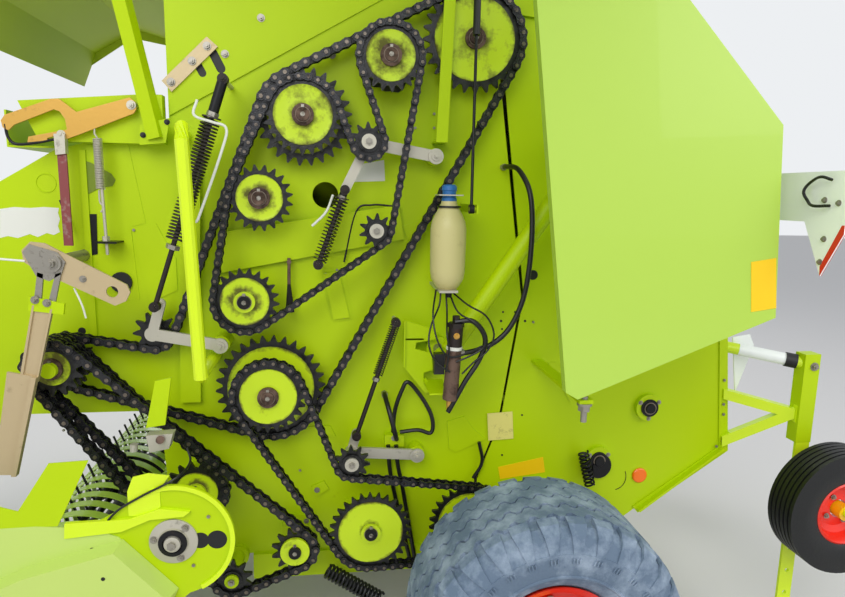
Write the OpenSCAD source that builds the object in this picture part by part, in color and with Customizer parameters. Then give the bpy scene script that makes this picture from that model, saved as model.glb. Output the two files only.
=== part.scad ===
// Round baler with a fixed chamber of steel rollers, parked on its jack.
// +X runs rearwards from the hitch eye, +Z is up, -Y is the machine's left side.
// Heights are written above the ground; the last lines set the eye at z = 0.

/* [Chassis and wheels] */
// Height of the hitch eye above the ground
hitch_h = 450; // [350:10:600]
// Bore of the hitch eye
eye_bore = 50; // [36:1:60]
// Distance from the hitch eye to the axle
axle_x = 3210; // [3150:10:3350]
// Outer diameter of a road tyre
tyre_d = 900; // [780:2:900]
// Width of a road tyre
tyre_w = 400; // [300:10:420]
// Gap between the outer row of chains and a road tyre
tyre_gap = 44; // [30:1:90]
// Side of the square axle beam
axle_box = 100; // [80:5:110]
// Bore of the driveline's yoke at the tractor end
pto_bore = 34.9; // [34.9:0.1:45]
// Free length of the parking jack's inner leg below its tube
jack_leg = 330; // [250:10:360]

/* [Chamber] */
// Inner width of the bale chamber
chamber_w = 1200; // [1100:10:1240]
// Thickness of a side wall
wall_t = 6; // [4:1:10]
// Diameter of a chamber roller over its ribs
roller_d = 250; // [230:5:256]
// Height of the chamber's centre above the ground
chamber_z = 1510; // [1500:1:1520]
// Pitch radius of the rollers in the tailgate
tail_ring = 850; // [842:1:852]
// Diameter of a roller's shaft
shaft_d = 50; // [35:1:60]

/* [Chain drives] */
// Pitch of the light roller chains
light_p = 31.75; // [25.4:0.05:32]
// Pitch of the heavy roller chain
heavy_p = 38.1; // [31.75:0.05:38.1]
// Distance from the side wall to the first row of chains
row_first = 58; // [50:1:80]
// Distance between two rows of chains
row_step = 50; // [48:1:60]
// Width of a chain over its pins
chain_w = 36; // [24:1:42]
// Thickness of a sprocket's toothed plate
tooth_w = 16; // [10:1:20]

/* [Pickup and rotor] */
// Working width of the pickup
pickup_w = 2100; // [1900:10:2160]
// Radius to the tips of the pickup's tines
tine_r = 262; // [240:2:280]
// Diameter of a tine's wire
tine_d = 7; // [5:0.5:9]
// Radius of the feed rotor over its tines
rotor_r = 146; // [130:1:147]

/* [Covers] */
// Distance from the middle of the machine to the face of a side cover
cover_y = 1130; // [1080:5:1160]
// Thickness of the sheet of the covers
sheet = 3; // [2:0.5:5]
// How far the left side cover stands open
cover_open = 96; // [85:1:110]
// How far the hood over the net box stands open
hood_open = 22; // [10:1:30]

/* [Hidden] */
$fn = 48;
e = 0.01;

// Paint and metal colours
GREEN = [0.62, 0.76, 0.06];
PALE = [0.66, 0.84, 0.30];
STEEL = [0.62, 0.60, 0.55];
BLACK = [0.06, 0.06, 0.07];
RED = [0.80, 0.10, 0.04];
RUBBER = [0.12, 0.12, 0.13];

// Planes across the machine, as distances from its middle
wall_in = chamber_w / 2 + 14;
wall_out = wall_in + wall_t;
row_c = wall_out + row_first;
row_b = row_c + row_step;
row_a = row_b + row_step;
wheel_y = row_a + chain_w / 2 + tyre_gap + tyre_w / 2;
wheel_z = tyre_d / 2;

// Shafts on the left side: [x, z]
S1 = [2266, 1858];
S2 = [2413, 2133];
S3 = [2209, 1506];
S4 = [2286, 1181];
S5 = [2642, 655];
S6 = [2369, 600];
S7 = [2631, 2053];
S8 = [2659, 1753];
S9 = [2703, 2334];
S10 = [2997, 2413];
S11 = [2573, 925];
S12 = [1598, 1295];
S13 = [1896, 1391];
S14 = [3010, 670];
S15 = [2145, 500];
PU = [2023, 816];
CHAMBER = [3060, chamber_z];
PIVOT = [2990, 2640];
REEL = [1600, 520];
tail_angles = [70, 49.5, 29, 8.5, -12, -33, -53, -72];

// Pitch radius of a sprocket with n teeth
function pitch_r(n, p) = p / (2 * sin(180 / n));

// Small helpers for plates and rods in the side view
module plate(pts, y0, t) {
    translate([0, y0 + t, 0]) rotate([90, 0, 0]) linear_extrude(t) polygon(pts);
}
module disc(c, y0, t, d) {
    translate([c[0], y0 + t, c[1]]) rotate([90, 0, 0]) cylinder(d = d, h = t);
}
module ring(c, y0, t, d, bore) {
    translate([c[0], y0 + t, c[1]]) rotate([90, 0, 0]) difference() {
        cylinder(d = d, h = t);
        translate([0, 0, -1]) cylinder(d = bore, h = t + 2);
    }
}
module box(x0, x1, y0, y1, z0, z1) {
    translate([x0, y0, z0]) cube([x1 - x0, y1 - y0, z1 - z0]);
}
// A round bar from point p to point q
module bar(p, q, d, bore = 0) {
    v = q - p;
    len = norm(v);
    translate(p) rotate([0, acos(v[2] / len), atan2(v[1], v[0])]) difference() {
        cylinder(d = d, h = len, $fn = 24);
        if (bore > 0) translate([0, 0, -1]) cylinder(d = bore, h = len + 2, $fn = 24);
    }
}
// A flat link between two points of the side view, with round ends
module link(p, q, w, y0, t, bore = 0) {
    v = q - p;
    a = atan2(v[1], v[0]);
    ends = [for (c = [[p, 90], [q, -90]]) for (k = [0:8]) let (h = a + c[1] + 22.5 * k)
        c[0] + w / 2 * [cos(h), sin(h)]];
    difference() {
        plate(ends, y0, t);
        if (bore > 0) {
            disc(p, y0 - 1, t + 2, bore);
            disc(q, y0 - 1, t + 2, bore);
        }
    }
}
// A rectangular tube from p to q, w wide across Y and h deep
module beam(p, q, w, h, t = 5) {
    v = q - p;
    flat = norm([v[0], v[1]]);
    translate(p) rotate([0, 0, atan2(v[1], v[0])]) rotate([0, -atan2(v[2], flat), 0])
        difference() {
            translate([0, -w / 2, -h / 2]) cube([norm(v), w, h]);
            translate([-1, -w / 2 + t, -h / 2 + t]) cube([norm(v) + 2, w - 2 * t, h - 2 * t]);
        }
}
// A tube swept along points, for hoses and bent wire
function unit(v) = v / norm(v);
function heading(pts, i) = unit(pts[min(i + 1, len(pts) - 1)] - pts[max(i - 1, 0)]);
module hose(pts, d, n = 8) {
    side = [for (i = [0:len(pts) - 1]) let (h = heading(pts, i))
        unit(cross(h, abs(h[1]) < 0.9 ? [0, 1, 0] : [1, 0, 0]))];
    rings = [for (i = [0:len(pts) - 1]) let (h = heading(pts, i), u = side[i], v = cross(h, u))
        for (k = [0:n - 1]) pts[i] + d / 2 * (cos(360 * k / n) * u + sin(360 * k / n) * v)];
    last = (len(pts) - 1) * n;
    polyhedron(rings, concat(
        [[for (k = [0:n - 1]) k]],
        [for (i = [0:len(pts) - 2]) for (k = [0:n - 1]) let (m = (k + 1) % n)
            [i * n + k, (i + 1) * n + k, (i + 1) * n + m, i * n + m]],
        [[for (k = [n - 1:-1:0]) last + k]]));
}

// Toothed plate: each tooth is a flat-topped wedge between round seats
module sprocket(c, y, n, p, hub) {
    r = pitch_r(n, p);
    root = r - p * 0.30;
    tip = r + p * 0.30;
    step = 360 / n;
    pts = [for (i = [0:n - 1]) for (s = [[0.30, root], [0.70, root], [0.93, tip], [1.07, tip]])
        let (a = (i + s[0]) * step) s[1] * [cos(a), sin(a)]];
    translate([c[0], -y + tooth_w / 2, c[1]]) rotate([90, 0, 0]) linear_extrude(tooth_w)
        difference() {
            polygon(pts);
            circle(d = shaft_d);
        }
    // A thicker boss round the shaft
    ring(c, -y - hub / 2, hub, shaft_d + 40, shaft_d);
}

// Chain runs: wheels are [x, z, pitch radius, turn], turn 1 anticlockwise and -1 clockwise.
// The heading of the straight run from wheel a to wheel b, with the run off set outwards
function run(a, b, off) = let (
    v = [b[0] - a[0], b[1] - a[1]],
    ra = a[3] * a[2] + off,
    rb = b[3] * b[2] + off) atan2(v[1], v[0]) + asin((ra - rb) / norm(v));
function turn(from, to, s) = let (d = (to - from) * s) s * (d - 360 * floor(d / 360));
function loop_pts(w, off, step) = let (n = len(w)) [
    for (i = [0:n - 1])
        let (
            a = w[(i + n - 1) % n], b = w[i], c = w[(i + 1) % n],
            from = run(a, b, off), by = turn(from, run(b, c, off), b[3]),
            r = b[3] * b[2] + off, k = max(1, ceil(abs(by) / step)))
        for (j = [0:k]) let (h = from + by * j / k) [b[0] + r * sin(h), b[1] - r * cos(h)]];
module chain(w, y, h, step = 24) {
    translate([0, -y + chain_w / 2, 0]) rotate([90, 0, 0]) linear_extrude(chain_w)
        difference() {
            polygon(loop_pts(w, h / 2, step));
            polygon(loop_pts(w, -h / 2, step));
        }
}
// A wheel of a chain run from a shaft and its number of teeth
function wheel(s, n, p, t = 1) = [s[0], s[1], pitch_r(n, p), t];
light_h = 26;
heavy_h = 32;
MAIN_RUN = [wheel(S10, 28, heavy_p), wheel(S2, 25, heavy_p), wheel(S13, 10, heavy_p, -1),
    wheel(S12, 14, heavy_p), wheel(S4, 30, heavy_p)];
UPPER_RUN = [wheel(S9, 21, light_p), wheel(S7, 11, light_p, -1), wheel(S2, 24, light_p),
    wheel(S1, 20, light_p), wheel(S3, 21, light_p), wheel(S8, 10, light_p)];
LOWER_RUN = [wheel(S4, 24, light_p), wheel(S5, 28, light_p), wheel(S14, 28, light_p),
    wheel(S11, 11, light_p, -1)];
ROTOR_RUN = [wheel(S12, 14, heavy_p), wheel(S15, 10, heavy_p), wheel(S6, 12, heavy_p)];
PICKUP_RUN = [wheel(S12, 14, heavy_p), wheel(PU, 17, heavy_p)];

module main_chain() color(BLACK) chain(MAIN_RUN, row_c, heavy_h);
module upper_chain() color(BLACK) chain(UPPER_RUN, row_b, light_h);
module lower_chain() color(BLACK) chain(LOWER_RUN, row_a, light_h);
module rotor_chain() color(BLACK) chain(ROTOR_RUN, row_a, heavy_h);
module pickup_chain() color(BLACK) chain(PICKUP_RUN, row_b, heavy_h);

// The chains seat round the teeth: each sprocket is cut back where its chain lies
hub_w = row_step - 4;
module main_sprockets() color(GREEN) {
    difference() {
        union() {
            sprocket(S10, row_c, 28, heavy_p, hub_w);
            sprocket(S2, row_c, 25, heavy_p, hub_w);
            sprocket(S4, row_c, 30, heavy_p, hub_w);
            sprocket(S12, row_c, 14, heavy_p, hub_w);
            sprocket(S13, row_c, 10, heavy_p, hub_w);
        }
        main_chain();
    }
    difference() {
        sprocket(S12, row_b, 14, heavy_p, hub_w);
        pickup_chain();
    }
    difference() {
        sprocket(S12, row_a, 14, heavy_p, hub_w);
        rotor_chain();
    }
}
module upper_sprockets() color(GREEN) difference() {
    union() {
        sprocket(S9, row_b, 21, light_p, hub_w);
        sprocket(S2, row_b, 24, light_p, hub_w);
        sprocket(S1, row_b, 20, light_p, hub_w);
        sprocket(S3, row_b, 21, light_p, hub_w);
        sprocket(S7, row_b, 11, light_p, hub_w);
        sprocket(S8, row_b, 10, light_p, hub_w);
    }
    upper_chain();
}
module lower_sprockets() color(GREEN) {
    difference() {
        union() {
            sprocket(S4, row_a, 24, light_p, hub_w);
            sprocket(S5, row_a, 28, light_p, hub_w);
            sprocket(S14, row_a, 28, light_p, hub_w);
            sprocket(S11, row_a, 11, light_p, hub_w);
        }
        lower_chain();
    }
    difference() {
        union() {
            sprocket(S6, row_a, 12, heavy_p, hub_w);
            sprocket(S15, row_a, 10, heavy_p, hub_w);
        }
        rotor_chain();
    }
    // Stub of the rotor's sprocket, flanged to the bearing
    disc(S6, -row_a - hub_w / 2, row_a + hub_w / 2 - wall_out - bearing_t, shaft_d - e);
    difference() {
        sprocket(PU, row_b, 17, heavy_p, hub_w);
        pickup_chain();
    }
}

// Chassis: rails under the walls, the axle beam, cross tubes and the rotor's floor
rail_z = wheel_z;
wall_foot = rail_z + axle_box / 2;
rail_w = 60;
module chassis() color(GREEN) {
    axle_half = wheel_y - 70;
    difference() {
        box(axle_x - axle_box / 2, axle_x + axle_box / 2, -axle_half, axle_half,
            rail_z - axle_box / 2, rail_z + axle_box / 2);
        box(axle_x - axle_box / 2 + 8, axle_x + axle_box / 2 - 8, -axle_half - 1, axle_half + 1,
            rail_z - axle_box / 2 + 8, rail_z + axle_box / 2 - 8);
    }
    for (s = [-1, 1]) {
        // Stub axle and its flange
        disc([axle_x, wheel_z], s > 0 ? axle_half : -axle_half - 12, 12, 150);
        disc([axle_x, wheel_z], s > 0 ? axle_half : -wheel_y - 60, wheel_y + 60 - axle_half, 60);
        // Rail under the side wall
        mid = s * (wall_in - 10);
        difference() {
            box(2200, axle_x - axle_box / 2, mid - rail_w / 2, mid + rail_w / 2,
                rail_z - axle_box / 2, wall_foot);
            box(2199, axle_x - axle_box / 2 - 8, mid - rail_w / 2 + 5, mid + rail_w / 2 - 5,
                rail_z - axle_box / 2 + 5, wall_foot - 5);
        }
    }
    // Cross tubes between the rails
    for (x = [2230, 2680, 3010]) difference() {
        box(x - 30, x + 30, -wall_in + 40, wall_in - 40, rail_z - 45, rail_z + 30);
        box(x - 25, x + 25, -wall_in + 39, wall_in - 39, rail_z - 40, rail_z + 25);
    }
    // Curved floor under the feed rotor
    translate([S6[0], wall_in - 40, S6[1]]) rotate([90, 0, 0]) linear_extrude(2 * wall_in - 80)
        difference() {
            circle(r = rotor_r + 14);
            circle(r = rotor_r + 9);
            translate([-300, -60]) square([600, 400]);
            translate([120, -300]) square([300, 600]);
        }
}

// Drawbar: two tubes that meet at the head
head_x = 330;
module drawbar_tube(s, t)
    beam([1400, s * 430, 1140], [head_x, s * 52, hitch_h + 60], 80, 120, t);
module drawbar() color(GREEN) {
    difference() {
        for (s = [-1, 1]) drawbar_tube(s, 6);
        box(1392, 1500, -600, 600, 1000, 1300);
    }
    // Head with its plates
    difference() {
        box(170, head_x + 120, -80, 80, hitch_h - 40, hitch_h + 105);
        box(169, head_x + 121, -68, 68, hitch_h + 20, hitch_h + 93);
    }
    // Foot of the drawbar on the front cross tube
    for (s = [-1, 1])
        box(1392, 1420, s * 430 - 70, s * 430 + 70, 1080, 1200);
    // Hook that carries the driveline
    box(690, 704, -40, 40, 709.3, 717.3);
    box(690, 704, -7, 7, 690, 710);
    beam([697, -160, 690], [697, 160, 690], 30, 12, 3);
}
module hitch_eye() color(STEEL) {
    difference() {
        union() {
            translate([0, 0, hitch_h - 20]) cylinder(d = 110, h = 40);
            translate([30, -35, hitch_h - 20]) cube([140, 70, 40]);
        }
        translate([0, 0, hitch_h - 30]) cylinder(d = eye_bore, h = 60);
    }
}
// Parking jack on the left tube of the drawbar
jack = [900, -330];
module parking_jack() color(STEEL) {
    top = jack_leg + 560;
    translate([jack[0], jack[1], 40 + 8]) cylinder(d = 45, h = jack_leg + 100);
    translate([jack[0], jack[1], jack_leg]) difference() {
        cylinder(d = 60, h = top - jack_leg);
        translate([0, 0, -1]) cylinder(d = 46, h = top - jack_leg - 20);
    }
    // Foot plate
    translate([jack[0], jack[1], 0]) cylinder(d = 180, h = 12);
    translate([jack[0], jack[1], 12]) cylinder(d = 70, h = 36);
    // Bracket to the drawbar
    difference() {
        box(jack[0] - 40, jack[0] + 40, jack[1] + 29, jack[1] + 58, 760, 850);
        drawbar_tube(-1, 39.9);
    }
    // Crank
    translate([jack[0], jack[1], top]) cylinder(d = 20, h = 30);
    bar([jack[0], jack[1], top + 20], [jack[0] - 130, jack[1], top + 20], 14);
    bar([jack[0] - 130, jack[1], top + 14], [jack[0] - 130, jack[1], top + 110], 18);
}

// Gearbox on the front cross tube, with the cross shaft to the chain side
gear_z = S12[1];
module gearbox() color(STEEL) {
    translate([1508, -110, gear_z - 130]) cube([210, 220, 260]);
    bar([1460, 0, gear_z], [1509, 0, gear_z], 130);
    bar([1380, 0, gear_z], [1461, 0, gear_z], 35);
    for (s = [-1, 1]) disc(S12, s > 0 ? 109 : -131, 22, 150);
    // Cross shaft tube to the left wall, and the shaft through it
    disc(S12, -wall_in, wall_in - 130, 110);
    disc(S12, -row_a - 40, row_a + 40 - wall_in, shaft_d - e);
    // Feet down to the cross tube
    box(1500, 1509, -140, 140, 1100, 1200);
}
yoke_x = 110;
yoke_depth = 80;
module driveline() {
    color(BLACK) {
        difference() {
            bar([1390, 0, gear_z + 4], [1290, 0, 1262], 130);
            box(1380, 1500, -200, 200, 1000, 1500);
        }
        bar([1290, 0, 1262], [760, 0, 762], 80);
        bar([760, 0, 762], [300, 0, 690], 66);
        bar([300, 0, 690], [215, 0, 690], 120);
    }
    color(STEEL) difference() {
        bar([yoke_x, 0, 690], [215, 0, 690], 62);
        bar([yoke_x - 1, 0, 690], [yoke_x + yoke_depth, 0, 690], pto_bore);
    }
}

// Side wall: a plate with stiffening flanges
bearing_t = 22;
arm_t = 12;
idler_out = row_c + 40;
// Points of the wall's edge where the roof starts and where it bends
ROOF_FOOT = [1960, 2500];
ROOF_KNEE = [2250, 2620];
WALL = [[1345, 1800], [1400, 1890], [1480, 1938], [1585, 2002], [1960, 2110], ROOF_FOOT, ROOF_KNEE,
    [2960, 2620], [3070, 2560], [3222, 1500], [3150, 1000], [3062, 760], [3062, wall_foot],
    [2080, wall_foot], [1990, 600], [1900, 760], [1880, 1085], [1345, 1085]];
module wall(s) {
    y0 = s > 0 ? wall_in : -wall_out;
    plate(WALL, y0, wall_t);
    out = s > 0 ? wall_out - e : -wall_out - bearing_t;
    // Upright behind the guard tube, cross rib and lower rib
    plate([[1960, 1120], [2030, 1120], [2060, 1990], [1990, 1990]], out, bearing_t + e);
    plate([[2125, 1737], [2745, 1842], [2765, 1719], [2103, 1591]], out, bearing_t + e);
    plate([[2474, 1590], [2530, 1600], [2569, 1428], [2510, 1420]], s > 0 ? wall_out - e : -wall_out - 12,
        12 + e);
    // Boss of the tailgate cylinder's pin
    disc(CYL_FOOT, s > 0 ? wall_out - e : -wall_out - foot_boss, foot_boss + e, 90);
}
// Pins that carry the feet of the tailgate cylinders
foot_boss = 30;
module cylinder_pins() color(STEEL)
    for (s = [-1, 1])
        disc(CYL_FOOT, s > 0 ? wall_out + foot_boss : -cyl_y - 28, cyl_y + 28 - wall_out - foot_boss, 40);
module wall_bearings(s) {
    y0 = s > 0 ? wall_out - e : -wall_out - bearing_t;
    for (c = [S1, S2, S3, S4, S5, S6, S9, S10, S14])
        disc(c, y0, bearing_t + e, 120);
}
module side_wall_left() color(GREEN) {
    difference() {
        union() {
            wall(-1);
            wall_bearings(-1);
            // Bosses of the tensioner arms
            for (c = [[2868, 2013], [2821, 906]])
                disc(c, -row_c, row_c - wall_out + 1, 60);
            disc([2120, 1349], -idler_out + arm_t, idler_out - arm_t - wall_out + 1, 60);
            // Arm and pin of the gas strut
            box(STRUT_FOOT[0] + 15, STRUT_FOOT[0] + 21, STRUT_FOOT[1] - 15, 1 - wall_out, STRUT_FOOT[2] - 14,
                STRUT_FOOT[2] + 14);
            translate(STRUT_FOOT - [8, 0, 0]) rotate([0, 90, 0]) cylinder(d = 12, h = 24);
            // Bearing block of the pickup shaft and seat of the lower idler
            disc(PU, -wall_out - 30, 31, 150);
            disc(S15, -wall_out - bearing_t, bearing_t + 1, 80);
        }
        for (c = [S1, S2, S3, S4, S5, S9, S10, S12, S14])
            disc(c, -wall_out - 60, 100, shaft_d);
        for (c = [S6]) disc(c, -wall_out - 60, 100, shaft_d + 2);
        disc(S8, -wall_out - 60, 60, shaft_d);
        disc(PU, -wall_out - 60, 60, shaft_d);
        disc(S15, -wall_out - 60, 60, shaft_d);
        // Sight holes and slots
        disc([2483, 1872], -wall_out - 50, 90, 92);
        link([2062, 2296], [2076, 2270], 26, -wall_out - 1, wall_t + 2);
        link([2113, 2335], [2137, 2287], 30, -wall_out - 1, wall_t + 2);
    }
    // Shaft that drives the pickup and carries its left side, and the lower idler's stub
    disc(PU, -pick_pivot, pick_pivot - wall_out, shaft_d - e);
    disc(S15, -row_a - hub_w / 2, row_a + hub_w / 2 - wall_out, shaft_d - e);
}
module side_wall_right() color(GREEN) {
    difference() {
        union() {
            wall(1);
            wall_bearings(1);
            disc(PU, wall_out - 1, 30, 150);
            disc(PU, wall_out - 1, pick_pivot - wall_out + 1, shaft_d);
        }
        for (c = [S1, S2, S3, S4, S5, S9, S10, S14])
            disc(c, wall_out - 50, 110, shaft_d);
        disc(S6, wall_out - 50, 110, shaft_d + 2);
    }
}

// Cross members between the walls, the net box and the front guard
module front_frame() color(GREEN) {
    w = wall_in;
    difference() {
        box(1420, 1500, -w, w, 1095, 1195);
        box(1426, 1494, -w - 1, w + 1, 1101, 1189);
    }
    // Net box: a tray with a front board
    box(1440, 1950, -w, w, 2010, 2016);
    box(1440, 1446, -w, w, 2015, 2130);
    box(1944, 1950, -w, w, 2015, 2109);
    // Side beams of the net box
    for (s = [-1, 1]) {
        y0 = s > 0 ? wall_out : -wall_out - 40;
        plate([[1504, 2155], [1899, 2190], [1950, 2190], [1950, 2030], [1560, 2030]], y0, 40);
    }
    // Posts of the left cover's rail: a square tube and a flat bar
    difference() {
        union() {
            beam([1935, -wall_out - 63, 2045], [1803, -wall_out - 24, 2650], 44, 45, 3);
        }
        box(1700, 3000, -800, -500, 2629, 2700);
    }
    // Flat prop of the left cover's rail, in front of the chains
    plate([[2864, 2060], [2904, 2060], [2924, 2629], [2886, 2629]], -716, 8);
    box(2864, 2904, -709, -wall_out, 2060, 2068);
    box(2886, 2924, -709, -660, 2621, 2629);
    // Ears and pins of the hood's hinge
    for (s = [-1, 1]) {
        for (y = [288, 364]) box(1995, 2015, s > 0 ? y : -y - 8, s > 0 ? y + 8 : -y, 2499, 2534);
        disc(HOOD_AXIS, s > 0 ? 288 : -372, 84, hood_pin);
    }
    // Upper cross tube and front roof edge
    box(1965, 2045, -w, w, 2420, 2500);
    // Front guard of the chamber between the rollers and the net box
    box(1965, 1971, -w, w, 1100, 2009);
}
// Roof over the chamber, with the hinge blocks of the tailgate and of the side covers
module roof() color(GREEN) {
    w = wall_out;
    translate([0, w, 0]) rotate([90, 0, 0]) linear_extrude(2 * w)
        polygon([[2045, ROOF_FOOT[1] + 85 * 120 / 290], ROOF_KNEE, [2900, 2620], [2900, 2624], [2249, 2624],
            [2045, 2540]]);
    for (s = [-1, 1]) {
        // Tailgate hinge blocks
        union() {
            plate([[2890, 2623], [2962, 2623], [3030, 2600], [3030, 2680], [2940, 2690]],
                s > 0 ? wall_in - 40 : -wall_in + 10, 30);
        }
        // Rail that carries the side cover, with the pin of its hinge
        difference() {
            box(1780, 3040, s > 0 ? wall_out - 30 : -wall_out - 50, s > 0 ? wall_out + 50 : -wall_out + 30,
                2629, 2635);
            box(2925, 3041, -wall_out - 25, wall_out + 25, 2620, 2640);
        }
        box(2260, 2900, s > 0 ? wall_in - 20 : -wall_in - 6, s > 0 ? wall_in + 6 : -wall_in + 20, 2623, 2630);
        for (x = [1972, 3022])
            box(x, x + 8, s * COVER_AXIS[0] - 20, s * COVER_AXIS[0] + 10, 2634, 2662);
        translate([1972, s * COVER_AXIS[0], COVER_AXIS[1] - 5]) rotate([0, 90, 0])
            cylinder(d = cover_pin, h = 1058);
    }
    // Pivot shaft of the tailgate
    disc(PIVOT, -wall_out - 30, 2 * wall_out + 60, 38);
}

// Rollers: tubes with pressed ribs, on shafts
module roller(c, half, left, right) {
    rr = roller_d / 2 - 9;
    translate([c[0], half, c[1]]) rotate([90, 0, 0]) difference() {
        cylinder(r = rr, h = 2 * half);
        translate([0, 0, 6]) cylinder(r = rr - 5, h = 2 * half - 12);
    }
    for (k = [0:9]) translate([c[0], 0, c[1]]) rotate([0, 36 * k, 0])
        translate([-7, -half + 8, rr - 2]) cube([14, 2 * half - 16, 11]);
    disc(c, half - 1, right - half + 1, shaft_d - e);
    disc(c, -left, left - half + 1, shaft_d - e);
}
module front_rollers() color(STEEL) {
    half = chamber_w / 2;
    reach = row_b + hub_w / 2;
    far = row_a + hub_w / 2;
    stub = wall_out + 40;
    roller(S1, half, reach, stub);
    roller(S2, half, reach, stub);
    roller(S3, half, reach, stub);
    roller(S4, half, far, stub);
    roller(S5, half, far, stub);
    roller(S9, half, reach, stub);
    roller(S10, half, row_c + hub_w / 2, stub);
    roller(S14, half, far, stub);
}
function tail_c(a) = CHAMBER + tail_ring * [cos(a), sin(a)];
module tailgate_rollers() color(STEEL)
    for (a = tail_angles) roller(tail_c(a), chamber_w / 2, wall_out + 30, wall_out + 30);

// Tensioner arms and idler shafts
module chain_tensioners() color(STEEL) {
    arm = -row_c - arm_t;
    link([2868, 2013], S7, 40, arm, arm_t);
    link(S7, STRUT_B[0], 34, arm, arm_t);
    disc(S7, -row_b - hub_w / 2, row_b + hub_w / 2 - row_c, shaft_d - e);
    link([2821, 906], S11, 40, arm, arm_t);
    link(S11, STRUT_C[1], 34, arm, arm_t);
    disc(S11, -row_a - hub_w / 2, row_a + hub_w / 2 - row_c, shaft_d - e);
    link([2120, 1349], S13, 40, -idler_out, arm_t);
    link(S13, STRUT_A[1], 34, -idler_out, arm_t);
    disc(S13, -idler_out, idler_out - row_c + hub_w / 2, shaft_d - e);
    disc(S8, -row_b - hub_w / 2, row_b + hub_w / 2 - wall_out, shaft_d - e);
    // Pins that hold the spring struts
    disc(STRUT_A[0], -row_a - 20, row_a + 20 - wall_out, 16);
    disc(STRUT_A[1], -row_a - 20, row_a + 20 - idler_out, 16);
    disc(STRUT_B[1], -strut_in - 20, strut_in + 20 - wall_out, 16);
    disc(STRUT_C[0], -strut_in - 20, strut_in + 20 - wall_out, 16);
}
// Spring struts: rod, coils as rings, and an eye at each end
STRUT_A = [[2168, 2228], [1927, 1498]];
STRUT_B = [[2551, 1891], [2458, 1632]];
STRUT_C = [[2733, 1423], [2592, 999]];
strut_in = row_c + arm_t + 18;
module strut(ends, y, d, coils) {
    p = [ends[0][0], -y, ends[0][1]];
    q = [ends[1][0], -y, ends[1][1]];
    v = q - p;
    bar(p, q, 17);
    for (k = [0:coils - 1]) let (a = p + v * (0.14 + 0.62 * k / coils), b = a + v * (0.62 / coils * 0.62))
        bar(a, b, d);
    for (c = ends) disc(c, -y - 14, 28, 34);
}
module spring_struts() color(BLACK) difference() {
    union() {
        strut(STRUT_A, row_a, 56, 14);
        strut(STRUT_B, strut_in, 44, 8);
        strut(STRUT_C, strut_in, 34, 10);
    }
    chain_tensioners();
}
module guard_tube() color(PALE) {
    y = -row_a - 172;
    hose([[2010, -wall_out, 2062], [2010, -wall_out - 60, 2062], [2062, y + 60, 2066], [2073, y, 2025],
        [2100, y, 1300], [2092, y + 50, 1292], [2088, y + 90, 1292], [2088, -wall_out - 60, 1292],
        [2088, -wall_out, 1292]], 42, 12);
}
// Oil bottle with its cap and strap
module oil_bottle() {
    c = [2902, -row_a - 10];
    color([0.85, 0.83, 0.72]) translate([c[0], c[1], 1560]) rotate_extrude()
        polygon([[0, 0], [38, 0], [59, 36], [63, 210], [56, 240], [43, 262], [27, 301], [0, 301]]);
    color("royalblue") translate([c[0], c[1], 1860]) cylinder(d = 54, h = 56);
    color(STEEL) {
        // Strap that passes behind the main chain
        box(2920, 2945, -row_b - 3, -wall_out, 1878, 1882);
        box(2862, 2945, c[1] - 36, -row_b - 2, 1878, 1882);
        box(2866, 2930, c[1] - 60, -wall_out, 1552, 1560);
    }
}
module oil_pump() color([0.30, 0.24, 0.18]) {
    y = -row_a - 82;
    bar([2924, y, 1442], [2910, y, 1180], 52);
    bar([2910, y, 1185], [2908, y, 1138], 24);
    translate([2922, y, 1438]) cylinder(d = 60, h = 40);
    box(2770, 2840, -row_c, -wall_out, 1350, 1356);
    plate([[2765, 1425], [2885, 1388], [2886, 1352], [2812, 1340], [2809, 1316], [2869, 1300], [2877, 1235],
        [2842, 1225], [2842, 1200], [2879, 1152], [2849, 1146], [2766, 1250]], -row_c, 5);
    box(2840, 2925, y + 15, -row_c + 2, 1190, 1232);
}
// Net lever with its hook, spring and strip at the front
LEVER = [[1856, 2174], [1690, 2122], [1668, 2140], [1640, 2162], [1615, 2160], [1475, 2106], [1462, 2088],
    [1466, 2066], [1482, 2058], [1500, 2076], [1622, 2128], [1640, 2122], [1655, 2098], [1658, 2066],
    [1540, 2040], [1536, 2022], [1660, 2038], [1700, 2054], [1866, 2124], [1875, 2138], [1873, 2160]];
module net_lever() color([0.72, 0.55, 0.30]) {
    y0 = -wall_out - 66;
    plate(LEVER, y0, 8);
    disc([1860, 2150], y0, 26, 30);
    bar([1748, y0 + 4, 2085], [1748, y0 + 4, 1875], 28);
    bar([1748, y0 + 4, 1880], [1757, y0 + 4, 1660], 10);
    box(1624, 1652, y0 - 4, y0 + 4, 1690, 2050);
    // Bracket that the threaded rod ends in
    difference() {
        box(1722, 1792, y0 - 10, -wall_out, 1698, 1704);
        bar([1748, y0 + 4, 1880], [1757, y0 + 4, 1660], 14);
    }
}
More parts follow.
